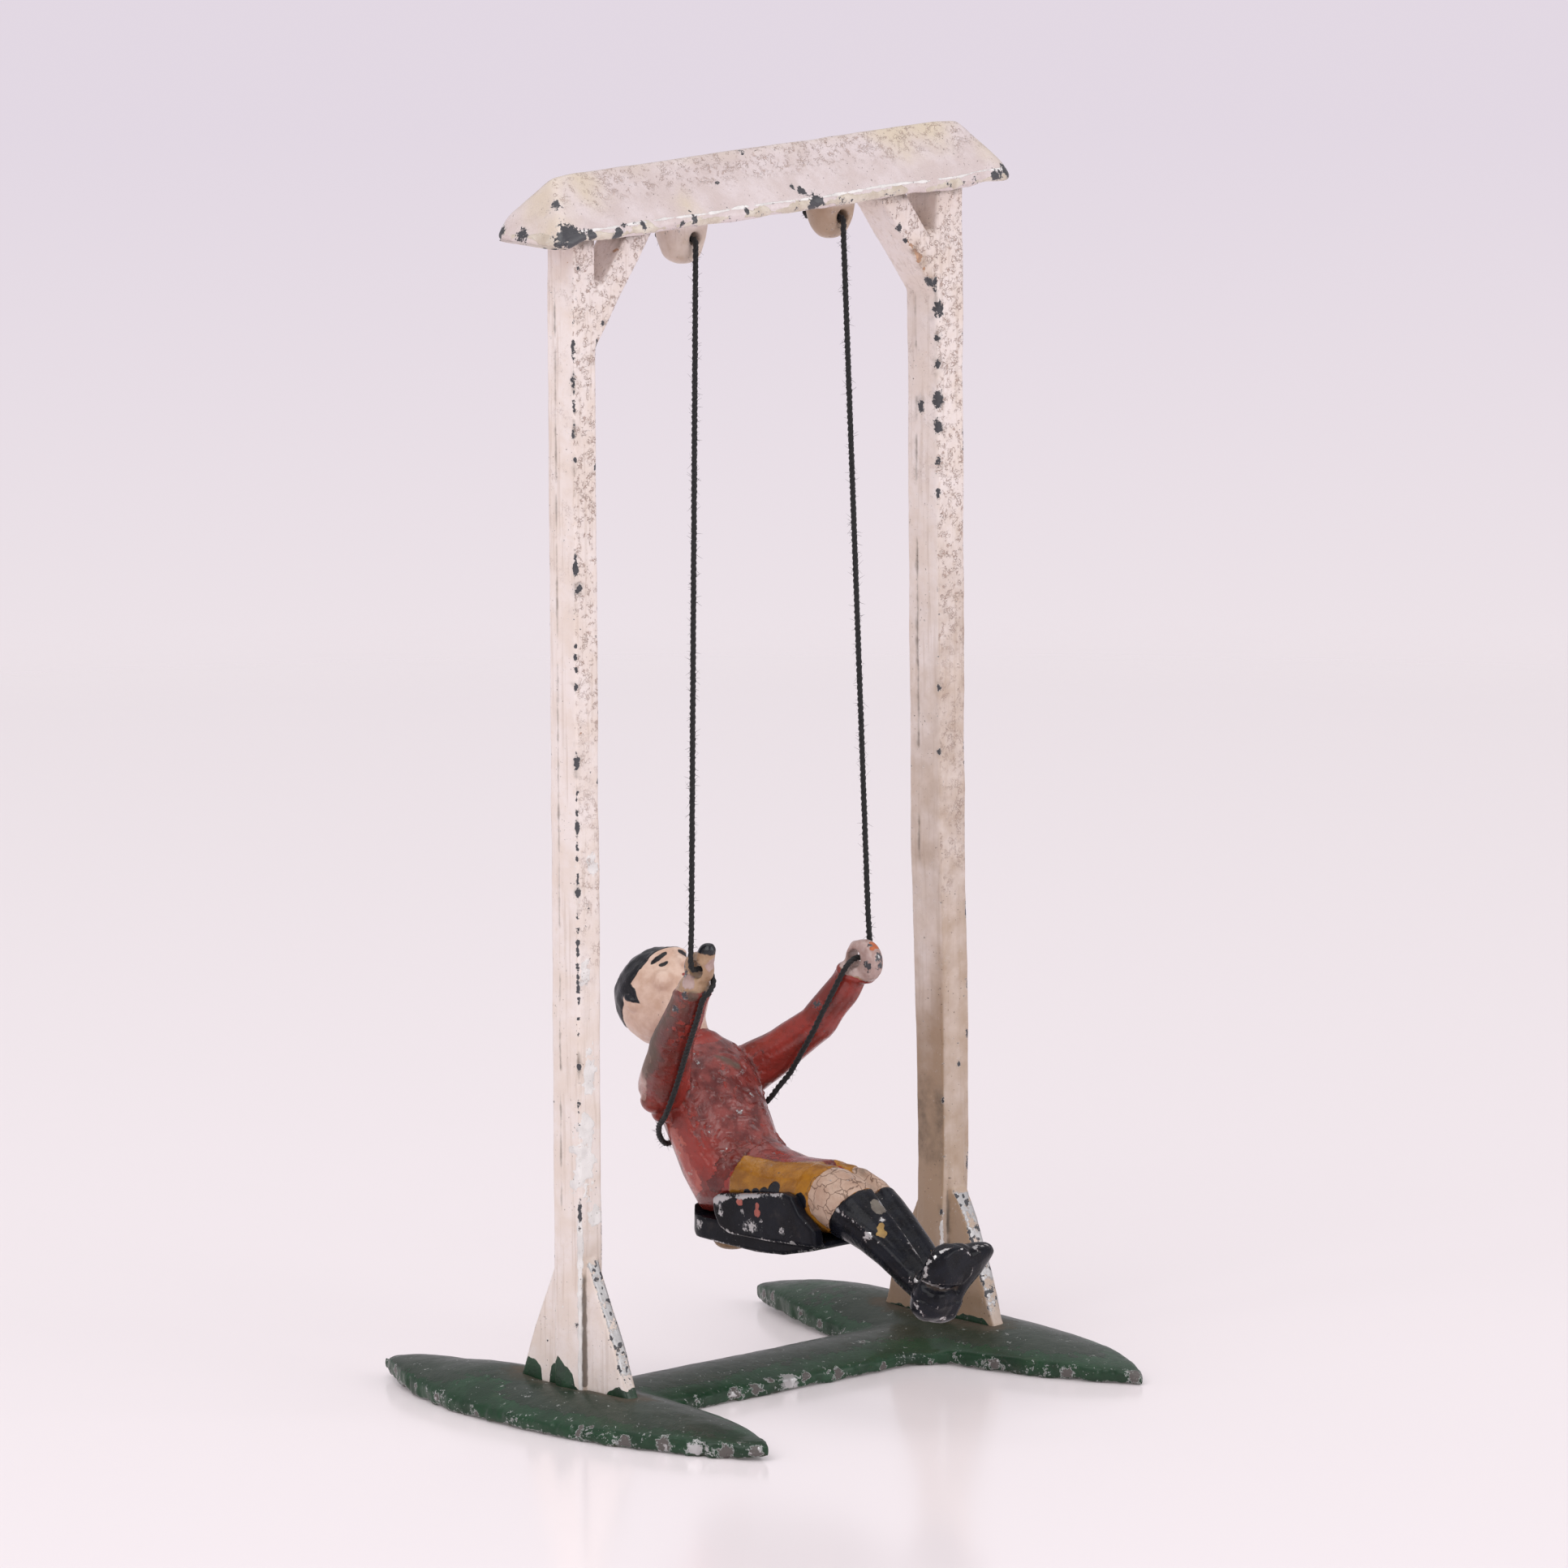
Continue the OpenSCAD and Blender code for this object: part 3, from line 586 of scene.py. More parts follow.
def broken(points, size, seed, low=-0.25, high=0.35):
    """Parts of an upright line that show, from 0 to 1, with gaps between them."""
    return step(lumps(points * [0.15, 0.15, 1], size, seed), low, high)


def post_maps(mesh, side):
    """Paint and wear of a post and its brace. Side is -1 for the left and 1 for the right."""
    points = points_of(mesh)
    normals = normals_of(mesh)
    edge = edge_map(mesh)
    x, y, z = points.T
    right = side > 0
    centre_x = side * post_x
    left_x = centre_x - post_side_x - 0.4 * right
    front = step(-normals[:, 1], 0.3, 0.8)

    def upright(at_x, low_z, high_z, radius, at_y=post_front_y):
        return near_line(points, [(at_x, at_y, low_z), (at_x, at_y, high_z)], radius)

    corner = upright(left_x + (-0.15 if right else 0.1), fin_top, 97, 0.34)
    far_corner = upright(centre_x + 1.3, 12, 97, 0.3)
    seam = upright(left_x, 12, 96, 0.26, at_y=0.9 if right else 0.5)
    corner_chips = right_corner_chips if right else left_corner_chips
    corner_share = 0.8 if right else 0.95
    wear = 0.16 * edge + corner_share * corner * broken(points, 2.6, 11) * broken(points, 0.5, 12, -0.5, 0.2)
    wear += 0.65 * far_corner * broken(points, 2.2, 13, 0.1, 0.6)
    wear += near(points, corner_chips, 1.3, 0.85) + near(points, brace_chips)
    unbent_y = y + np.interp(z, fin_bulge_z, fin_bulge) * right
    fin_edge = step(-normals[:, 1], 0.5, 0.8) * step(-unbent_y, 1.7, 1.95) * (z > 3.5) * (z < fin_top + 1.6)
    fin_edge = fin_edge * (np.abs(x - centre_x) < fin_side_x + 0.4)
    wear += fin_edge * (0.48 + 0.26 * step(z, 6, 9) + 0.32 * lumps(points, 0.8, 14))
    green_top = 3.1 + 0.5 * lumps(points, 1.4, 5) + 0.3 * lumps(points, 0.6, 6) - 0.3 * right
    if not right:
        green_top = np.where(x - centre_x < -0.2, np.interp(y, *np.array(left_jags).T) - 0.2, green_top)
    # Painted shade: a dark line in the groove between the post and its front fin, where shadow falls.
    groove = upright(centre_x - fin_side_x - 0.22, 3.2, 13.2, 0.36)
    groove = 1.2 * groove * step(z, 14, 10) * (0.9 + 0.4 * lumps(points, 0.8, 19))
    pale = upright(left_x + 0.1, 2.5, 17, 0.55) * (0.7 if right else 1.0)
    pale = np.maximum(pale, 0.8 * near(points, [] if right else post_pale, 2.2))
    dust = (0.7 if right else 0.45) * seam * broken(points, 2.0, 15, -0.6, 0.1) + 1.15 * groove
    # The last term is painted shade: darker just under the roof, on the posts and braces.
    dust += 0.4 * corner * broken(points, 1.4, 16) + 0.5 * step(99.9 - z, 1.6, 0.2)
    dust += 0.3 * near(points, brace_rust) + 0.3 * near(points, corner_chips, 1.6, 1.7)
    shade = step(z, 14, 17) * step(z, 26, 21) * (1 - front) * right
    # Tan low down, strongest on the right post's side faces: partly the paint's own tan, partly painted
    # shade where the right post stands behind the boy.
    low_warm = 0.5 * step(z, 88, 45) + 0.55 * step(z, 33, 24)
    low_warm = low_warm * (1.0 if right else 0.1) * (0.9 + 0.3 * lumps(points, 3, 21))
    middle = step(z, 26, 40) * step(z, 78, 62) * right
    foot_warm = 0.28 * front * (step(z, 42, 30) if right else step(z, 19, 13))
    rust = near_line(points, brace_rust_line, 0.55) * (0.75 + 0.5 * lumps(points, 0.9, 22)) * right
    warm = low_warm * (1.0 - 0.75 * front) + front * (0.1 + 0.28 * middle)
    pitted = step(lumps(points, 0.35, 17), 0.2, 0.5) * (0.6 + 0.6 * lumps(points, 1.5, 20))
    paint_maps(
        mesh,
        edge=edge,
        wear=np.where(z < 4.4, wear * 0.5, wear),
        crazed=-0.1 + 0.5 * front * step(z, 20, 45) + 0.35 * step(z, 55, 75) - 0.25 * (z < 16),
        to_green=green_top - z,
        to_white=pale - 0.42 + 0.25 * lumps(points, 1.2, 18),
        dust=dust + 0.3 * shade,
        to_rust=np.maximum(rust, near(points, [(-17.4, -1.3, 98.7, 0.9)], 1.3)) - 0.55,
        warm=warm + 0.5 * near(points, brace_rust, 1.3) + foot_warm,
        silver=np.where(fin_edge > 0, 0.42 - 1.1 * pitted, -0.3),
    )


def place_frame_parts(mesh, names):
    for name, part in parted(mesh, names).items():
        paint = roof_cream if name == "roof" else cream
        placed(part, name + "_enamel", "frame", [name], paint)


def make_posts():
    for side, label in ((-1, "left"), (1, "right")):
        names = [label + "_post", label + "_brace"]
        fillet_x = side * (post_x - post_side_x - 0.15)
        fillet = beads([(fillet_x, -0.75, 95.4), (fillet_x, 0.75, 95.4)], [0.8, 0.8])
        mesh = fused(label, [node_in_mm(n) for n in names] + fillet, 0.14, 3)
        shift(mesh, cast_grain(points_of(mesh), 1))
        points = points_of(mesh)
        x, y, z = points.T
        z -= foot_drop * step(z, 1.2, 2.6) * step(z, 7, 3.8)
        if side > 0:
            x -= (0.33 + 0.2 * step(z, 20, 95)) * step(z, 3, 6) * step(-x, -post_x, 0.9 - post_x)
            x += 0.28 * step(z, 9, 18) * step(z, 46, 28)
            y += 0.48 * step(y, 0.6, 1.4) * step(z, 12, 40)
            fin_out = np.interp(z, fin_bulge_z, fin_bulge) * step(np.abs(x - post_x), 1.05, 0.75)
            y -= fin_out * step(-y, 1.3, 1.8)
        set_points(mesh, points)
        post_maps(mesh, side)
        place_frame_parts(mesh, names)


def roof_maps(mesh):
    points = points_of(mesh)
    edge = edge_map(mesh)
    x, y, z = points.T
    along = points * [1, 0, 0]
    lip = step(np.abs(y), 3.4, 3.9) * (z > roof_low_z)
    wear = edge * (0.2 + 0.22 * lumps(points, 2.4, 18)) + near(points, roof_chips)
    slope = np.abs(normals_of(mesh)[:, 1]) > 0.3
    # Painted highlight: a thin broken white line along the top of each eave lip, in place of the glint of
    # light there.
    shine_z = roof_low_z + 1.0 + 0.12 * lumps(along, 3, 29)
    shine = 1 - np.abs(z - shine_z) / 0.17 + 0.4 * lumps(along, 1.1, 30)
    band = 0.3 - np.abs(z - roof_low_z - 0.35) + 0.5 * lumps(points, 1.3, 31)
    lug_low = step(-z, -roof_low_z, -98)
    lug_warm = np.where(x < 0, 0.45, 0.75) * step(-z, -roof_low_z, -99)
    paint_maps(
        mesh,
        edge=edge,
        wear=wear + 0.25 * lip * step(lumps(points, 1.1, 19), 0.2, 0.8),
        crazed=0.2 + 0.5 * step(z, 102, 104.2) * slope - 0.5 * lip,
        to_white=np.where(np.abs(y) > 3.2, shine - 0.55, -1),
        to_green=-1,
        to_rust=-1,
        to_cream=np.where(z > roof_low_z - 0.2, band, -1),
        # Darker in hollows, most on the lower half of the lugs.
        dust=0.3 * lug_low * step(-edge, -0.2, 0.5) + 0.25 * step(-edge, 0.3, 1),
        warm=0.05 + 0.7 * near(points, roof_yellow) + lug_warm + 0.25 * step(z, 103.6, 105),
        silver=-0.2,
    )


def make_roof():
    names = ["roof", "left_lug", "right_lug"]
    mesh = fused("roof", [node_in_mm(n) for n in names], 0.16, 9)
    points = points_of(mesh)
    softer = relax(points, edges_of(mesh), 60)
    points += step(np.abs(points[:, 0]), 20, 23)[:, None] * (softer - points)
    set_points(mesh, points)
    x, y, z = points.T
    lip = hump(z - 100.35, 0.4) * step(np.maximum(np.abs(y) - 3.6, np.abs(x) - 25), 0, 0.4)
    ragged = 0.05 * lumps(points, 1.3, 8) * step(np.abs(y), 3.2, 4)
    shift(mesh, cast_grain(points, 2) + ragged + 0.16 * lip)
    points = points_of(mesh)
    x, y, z = points.T
    droop = 0.5 * step(-x, 22.6, 25) + 0.2 * step(x, 23, 25.4)
    droop += 0.12 * lumps(points * [1, 0, 0], 5, 9) * step(np.abs(y), 3, 4)
    z -= step(102 - z, 0, 1.5) * (z > 99.3) * droop
    left_lug = (x < 0) & (z < 99.6)
    z -= 0.3 * step(97.9 - z, 0, 0.8) * left_lug
    x -= 0.3 * step(-x, lug_x + 0.5, lug_x + 1.8) * left_lug
    set_points(mesh, np.clip(points, low_mm, high_mm))
    roof_maps(mesh)
    place_frame_parts(mesh, names)


base_chips = [
    (-23.7, 19.8, 1.3, 1.2), (-25.7, 15.1, 1.0, 0.9), (-26.7, 11.5, 0.8, 0.9), (-27.7, 5.4, 0.4, 0.8),
    (-28, 1.4, 0.2, 0.7), (-27.5, -7, 0.8, 0.8), (-26.6, -11.8, 0.6, 1.2), (-25.6, -15.4, 0.8, 1.5),
    (-24.5, -18.4, 0.7, 1.9), (-23.4, -20.6, 0.6, 1.6), (-22.1, -22.9, 0.8, 1.2), (-7.7, -4.8, 0.8, 1.2),
    (-5.2, -4.8, 0.8, 1.4), (-3.4, -4.4, 1.2, 0.9), (-1.2, -4.8, 0.8, 2.0), (0.7, -4.7, 1.0, 1.1),
    (4.3, -4.8, 0.7, 1.2), (9.4, -4.8, 0.4, 1.0), (16.1, -11.3, 0.7, 1.1), (18.2, -18, 0.4, 1.4),
    (21, -23.3, 0.7, 1.4), (10.2, -1.5, 2.5, 1.5), (18.7, 18.7, 1.7, 1.0), (16.6, 13.4, 1.3, 1.1),
    (15.8, 10, 1.0, 0.9), (19.5, 20.8, 1.4, 1.0), (-27.3, -7.1, 1.4, 0.7), (-26.9, -8.2, 1.2, 0.6),
    (27.5, 3, 0.6, 1.2), (26, 14, 0.8, 1.3), (0, 4.8, 0.8, 1.2), (-8, 4.8, 0.6, 0.9),
    (-20.5, 23.4, 0.8, 1.1),
]


def make_base():
    mesh = fused("base", [node_in_mm("base")], 0.2, 14)
    points = points_of(mesh)
    ragged = 0.13 * lumps(points, 1.5, 21) + 0.08 * lumps(points, 0.6, 22)
    ragged -= 0.16 * step(lumps(points, 1.1, 27), 0.35, 0.8)
    shift(mesh, 1.3 * cast_grain(points, 3) + ragged * step(-points[:, 2], -1.7, -0.9))
    points = points_of(mesh)
    x, y, z = points.T
    z -= np.minimum(z, 0)
    z -= 0.28 * np.maximum(z - 0.9, 0) * step(y, 12, 3)
    bent = np.where(x > 0, 0.5 * step(y, 8, 18), 0.6 * step(y, 14, 23) + 0.35 * step(-y, 20, 23.5))
    z += bent * step(np.abs(x), 8, 12)
    set_points(mesh, points)
    edge = edge_map(mesh, 10, 0.14)
    to_post = np.hypot((np.abs(x) - post_x) * 1.2, np.maximum(np.abs(y) - 6, 0))
    bar = step(np.abs(y), 5, 2) * step(np.abs(x), 18, 12)
    # Darker round the posts' feet and a little on the crossbar.
    dust = step(to_post, 4.2, 0.6) * (0.62 + 0.3 * lumps(points, 1.2, 28)) + 0.12 * bar
    under = normals_of(mesh)[:, 2] < -0.5
    rim = step(z, 1.9, 0.8)
    wear = rim * (0.06 + 0.25 * lumps(points, 1.6, 23)) + 0.3 * edge * rim
    wear += 1.1 * near(points, base_chips, grown=0.62)
    film = step(z, 1.2, 2.3) * 1.3 - 0.75 + 0.3 * lumps(points, 3, 26)
    big = near(points, [(-1.2, -4.8, 0.8, 2.0), (-24.5, -18.4, 0.7, 1.6)])
    paint_maps(
        mesh,
        edge=edge,
        wear=np.where(under, 0.35 + 0.3 * lumps(points, 3, 24), wear),
        crazed=-1,
        dust=np.where(under, 0.3, dust),
        to_film=film - 1.1 * near(points, [(17, 16, 2, 9), (-26, 8, 2, 5)]),
        silver=-0.08 + 0.35 * lumps(points, 0.7, 25) + 0.8 * big,
    )
    placed(mesh, "base_enamel", "frame", ["base"], green)


# The boy

knee_top = -11.1
stocking_top = -13.6
neck_at = np.array([0, 7.9, 12.1])
neck_way = np.array([0, 0.45, 0.89])
left_palm = np.array([-8.69, -3.15, 20.75])
right_palm = np.array([9.39, -4.0, 19.0])
boy_slots = {
    "torso": "jersey_paint", "head": "skin_paint", "shorts": "shorts_paint", "left_arm": "jersey_paint",
    "right_arm": "jersey_paint", "left_leg": "black_paint", "right_leg": "black_paint",
}


def on_head(x, up, ahead):
    """A place on the head, from its centre, as a place from the hip."""
    return head_at + np.array([x, 0, 0]) + up * head_up + ahead * head_ahead


def head_shapes():
    """Nose, mouth and chin, brow, and on both sides the ear and the cheek."""
    middle = [
        (-0.5, 4.15, (0.42, 0.5, 0.8)), (-0.85, 4.3, (0.5, 0.48, 0.42)), (-2.75, 3.0, (1.15, 0.95, 0.8)),
        (-1.9, 3.5, (0.85, 0.6, 0.42)), (0.95, 3.35, (2.2, 1.0, 0.6)),
    ]
    shapes = [ball(on_head(0, up, ahead), radii, head_up) for up, ahead, radii in middle]
    for side in (-1, 1):
        shapes.append(ball(on_head(side * 3.35, -0.2, -0.2), (0.42, 0.62, 0.95), head_up))
        shapes.append(ball(on_head(side * 1.75, -1.2, 2.85), (1.15, 1.0, 1.05), head_up))
    return shapes


def limb_shapes():
    """What the soft casting adds to the model's limbs: knuckles, the heel and the near shoulder."""
    return [ball(at, radii) for at, radii in (
        (left_palm + [0.1, 0.95, 0.35], (0.62, 0.5, 0.6)),
        (left_palm + [0.1, 1.0, -0.55], (0.6, 0.45, 0.5)),
        (right_palm + [-0.1, -1.0, -0.9], (0.7, 0.6, 0.6)),
        (right_palm + [-0.1, 0.9, 1.2], (0.6, 0.5, 0.5)),
        ((-1.9, -24.0, -5.5), (1.6, 1.2, 1.3)),
        ((-2.2, -24.75, -5.1), (1.15, 1.1, 1.1)),
        ((-4.6, 6.3, 7.6), (1.3, 1.3, 1.3)),
        ((-5.9, 5.6, 7.9), (1.2, 1.2, 1.2)),
        ((-5.0, 5.6, 6.7), (0.95, 0.95, 0.95)),
    )] + beads([left_palm + [0, -0.7, 0.9], left_palm + [0, -0.95, 1.5]], [0.85, 0.75])


def on_boy(mesh):
    """The points from the hip and their normals, x, y, z, distance to the side, and where each lies up
    and ahead from the middle of the head."""
    points = points_of(mesh) - hip
    x, y, z = points.T
    from_head = points - head_at
    return points, normals_of(mesh), x, y, z, np.abs(x), from_head @ head_up, from_head @ head_ahead


def hair_edge(side, up, ahead):
    """Above 0 where the hair grows: the crown and a short pointed sideburn."""
    sideburn = np.minimum(side - 2.6, 0.5 - 0.8 * np.abs(ahead - 0.5) + 0.45 * np.minimum(up, 0))
    return np.maximum(up - 0.6 - 0.15 * ahead, sideburn)


def knee_edges(y, z):
    """Above 0 on the foot's side of the hem of the shorts, and of the top of the stocking."""
    bend = 0.14 * np.maximum(z - 2, 0) ** 2 + 0.3 * np.maximum(1.5 - z, 0) ** 2
    hem = knee_top - bend - y
    return hem, stocking_top - 0.72 * z - y


def cuff_edge(x, y, z):
    """Above 0 on the hand's side of a cuff."""
    return np.where(x < 0, z - 18.7, z - (18.4 + 0.5 * (y + 2.7)))


def boy_maps(mesh):
    """Where each coat of paint lies on the boy, and where it is worn."""
    points, normals, x, y, z, side, up, ahead = on_boy(mesh)
    edge = edge_map(mesh)
    on_body = (side < 5.5) & (z < 6.5)
    neck = (points - neck_at) @ neck_way
    to_head = np.where(side < 4.5, neck - 0.1, -9)
    hair = np.minimum(hair_edge(side, up, ahead), to_head)
    flap = side - 2.4 - 0.23 * (y + 1.9)
    hem, stocking = knee_edges(y, z)
    knees = np.where(on_body, np.minimum(hem - 1.3 * hump(x, 0.6), -stocking), -9)
    hands = np.where(side > 6.5, cuff_edge(x, y, z), -9)
    tips = near(points, [(-8.69, -4.2, 23.0, 1.4)]) - 0.2
    flames = near(points, flame_spots) - 0.42
    black = [np.minimum(stocking, -5 - y), hair, face_map(x, up, ahead), tips, flames]
    chest = step(-normals[:, 1] + 0.6 * normals[:, 2], 0.1, 0.9) * (z > 1) * (side < 4.4) * (z < 12)
    # Painted highlight: lighter pink along the torso's back edge and at the near elbow, where light falls on
    # them; the chest's pale rose is partly worn paint, partly painted highlight.
    back_edge = near_line(points, [(-4.6, 7, 8.5), (-4.4, 4.6, 4.5), (-4.2, 2.5, 1)], 1.8)
    elbow = near_line(points, [(-8.0, 4.3, 12.4), (-7.5, 5.4, 10.2), (-6.6, 6.4, 8.4)], 1.5)
    rose = 0.9 * chest + 0.4 * back_edge + 1.4 * elbow - 0.62 - 1.6 * near(points, [(-3.0, -0.6, 2.4, 3.4)])
    arm_maroon = 1.2 * near_line(points, [(-8.9, -2.4, 17.6), (-8.4, 1.0, 14.8), (-8.0, 3.4, 12)], 1.9)
    # Painted shade: dark red in the fold between the waist's side and the belly.
    maroon = near_line(points, [(-2.2, -1.4, 4.1), (-3.7, -0.8, 2.8), (-4.3, -0.2, 1.1)], 1.5)
    grey_hand = np.where(x > 0, hands, near(points, left_hand_grey) - 0.3)
    yellow = near_line(points, stocking_yellow, 0.5) * (0.9 + 0.9 * lumps(points, 0.3, 38))
    pits = step(lumps(points, 0.7, 33), 0.4, 0.8) * chest
    plate = sole_plate(x, y, z, normals)
    rims = hump(plate - 0.02, 0.045) * step(0.6 * z - x, -2.2, 0.4) * (y < -23)
    rims += 0.8 * hump(plate - 0.02, 0.03) * (y < -23)
    rims += 1.1 * near_line(points, heel_rim, 0.5) + near_line(points, far_rim, 0.5)
    rims = rims * (0.6 + 1.1 * lumps(points, 0.33, 34))
    wear = edge * (0.12 + 0.16 * lumps(points, 1.6, 31)) + near(points, boy_chips)
    wear += 0.3 * step(-y, 12, 14) * step(edge, 0.3, 1.2) + 0.5 * pits + rims
    wear += near_line(points, shank_ridge, 0.32) * (0.7 + 0.4 * lumps(points, 1.1, 35))
    wear += near_line(points, leg_ridge, 0.55) * (0.85 + 0.6 * lumps(points, 0.7, 36))
    stains = near_line(points, arm_stain, 1.5)
    smear = near_line(points, [(-0.4, 3.5, 11.2), (1.2, 3.0, 10.0)], 0.6)
    cuff_spot = near(points, [(-9.5, -3.1, 18.5, 0.7), (-9.3, -2.0, 18.9, 0.6)])
    shade = 0.1 * (hands > 0) + 0.25 * (x < -6.5) * step(-normals[:, 0], 0, 0.8) * (hands < 0)
    shade += 0.5 * near_line(points, leg_groove, 0.7) * (y > -13.5)
    shade += 0.6 * near(points, [(2.6, -12.2, 3.9, 2.6)]) * (x > 0.8)
    clothed = to_head <= 0
    paint_maps(
        mesh,
        edge=edge,
        to_rust=near(points, [(9.6, -5.0, 20.4, 0.7), (9.1, -5.2, 20.2, 0.4)]) - 0.35,
        to_rose=np.where(clothed, rose, -1),
        to_maroon=np.where((z > 0.5) & (to_head < 0), np.maximum(maroon, arm_maroon) - 0.5, -1),
        to_coral=np.where(clothed, back_edge - 0.5, -1),
        to_pale=np.where(clothed, elbow + 0.35 * back_edge - 0.42, -1),
        to_shorts=np.where(on_body, np.minimum(-1.8 - y, np.maximum(flap, 1.5 - z)), -9),
        to_flesh=to_head,
        to_knee=knees,
        to_hand=hands,
        to_grey_hand=grey_hand - 2.4 * near(points, [(8.5, -3.7, 20.6, 1.5)]),
        to_lips=lip_map(x, up, ahead),
        to_black=np.maximum.reduce(black),
        to_beige=near(points, [(-1.7, -17.4, 1.3, 1.0), (-1.6, -16.9, 1.6, 0.7)]) - 0.35,
        to_yellow=yellow - 0.35,
        wear=np.where((to_head > -0.3) & (up < 2.4), wear * 0.25, wear),
        crazed=np.where(knees > -0.3, 0.5 + 0.3 * lumps(points, 2, 37), -1),
        dust=0.6 * stains + 0.8 * smear + 0.9 * cuff_spot + shade,
        silver=np.where(y < -12, 0.2, -0.05) + 0.3 * pits + 0.35 * rims,
        warm=np.where(to_head > -0.2, -1, 0.0),
    )


def stroke(across, up, start, end, width):
    """How far inside a painted stroke a place on the face lies."""
    return width - away_from(np.column_stack([across, up]), start, end)


def face_map(x, up, ahead):
    """Brows and eyes of a plain painted toy face."""
    side = np.abs(x)
    brow = stroke(side, up, (0.75, 0.72), (1.95, 0.62), 0.13)
    eye = stroke(side, up, (1.1, 0.0), (1.5, 0.0), 0.2)
    return np.where(ahead > 1.2, np.maximum(brow, eye), -1)


def lip_map(x, up, ahead):
    return np.where(ahead > 1.2, stroke(np.abs(x), up, (0, -1.85), (0.55, -1.8), 0.14), -1)


flame_spots = [
    (-3.9, -7.0, 1.75, 1.2), (-4.1, -6.0, 1.2, 1.1), (-4.2, -5.0, 1.0, 1.0), (-4.2, -4.0, 0.9, 0.9),
    (-4.3, -10.3, 1.2, 1.4),
]
boy_chips = [
    (-3.4, -18.1, -0.75, 0.7), (-2.2, -18.4, 0.5, 0.5), (9.1, -5.0, 20.6, 0.5), (8.6, -5.2, 18.8, 0.7),
    (9.4, -5.75, 19.6, 0.8), (9.5, -5.9, 18.7, 0.6), (6.8, -1, 15.2, 0.8), (-9.8, -2.5, 18.5, 0.6),
    (-2.9, -6.6, 2.9, 0.28), (-3.0, -24.2, -6.1, 0.7), (-9.5, -1.2, 17.2, 0.6), (-8.6, -3.7, 18.6, 0.6),
    (2.6, -22.6, -3.4, 0.8), (-2.6, -22.8, -3.8, 0.7), (-9.3, -2.2, 20.1, 0.55), (-9.3, -1.9, 20.9, 0.4),
    (-1.0, -12.1, 3.9, 0.45),
]
heel_rim = [
    (-3.7, -23.4, -4.6), (-3.6, -24.2, -5.5), (-3.3, -24.5, -6.2), (-2.1, -25, -6.75), (-0.7, -25.2, -6.6),
    (-0.2, -25.2, -5.8),
]
heel_crease = [(-3.4, -24.8, -3.8), (-2.8, -25.4, -4.05), (-1.9, -25.8, -4.2), (-0.6, -25.9, -4.4)]
far_rim = [(1.4, -26, -1.3), (2.6, -26, -1.2), (3.5, -25.5, -1.5), (3.9, -25.5, -2)]
shank_ridge = [
    (-3.8, -14.7, 1.1), (-3.6, -16.4, 0.4), (-3.4, -17.8, -0.3), (-3.2, -19.2, -1.1), (-2.9, -20.8, -2.2),
    (-2.8, -22.1, -3.1),
]
leg_ridge = [
    (-0.9, -16.8, 1.7), (-0.9, -17.9, 0.95), (-0.9, -19.8, -0.6), (-1.05, -20.8, -1.4), (-1.1, -21.7, -2.1),
]
leg_groove = [
    (0.8, -10.6, 4.2), (0.7, -12.0, 3.9), (0.6, -13.1, 3.4), (0.1, -14.9, 2.85), (-0.3, -16.3, 2.1),
    (-0.5, -17.7, 1.1), (-0.45, -19, 0.05), (-0.55, -20.4, -1.0), (-0.6, -21.7, -2.1), (-0.8, -22.6, -2.7),
]
stocking_yellow = [(-2.4, -18.6, 0.0), (-2.9, -18.9, -0.35), (-2.6, -19.3, -0.55)]
arm_stain = [(-8.9, -1.2, 17.8), (-8.2, 1.6, 15.4), (-8.2, 3.2, 13.2), (-7.6, 4.6, 11)]
left_hand_grey = [(-9.3, -2.6, 19.6, 1.0), (-8.7, -4.4, 21.2, 0.8)]


def sole_plate(x, y, z, normals):
    """Above 0 inside the near boot's oval sole, on the side that faces forward."""
    inside = 1 - np.hypot((x + 1.5) / 2.15, (z + 2.5) / 1.78)
    return np.where((y < -23) & (normals[:, 1] < 0.2), inside, -1)


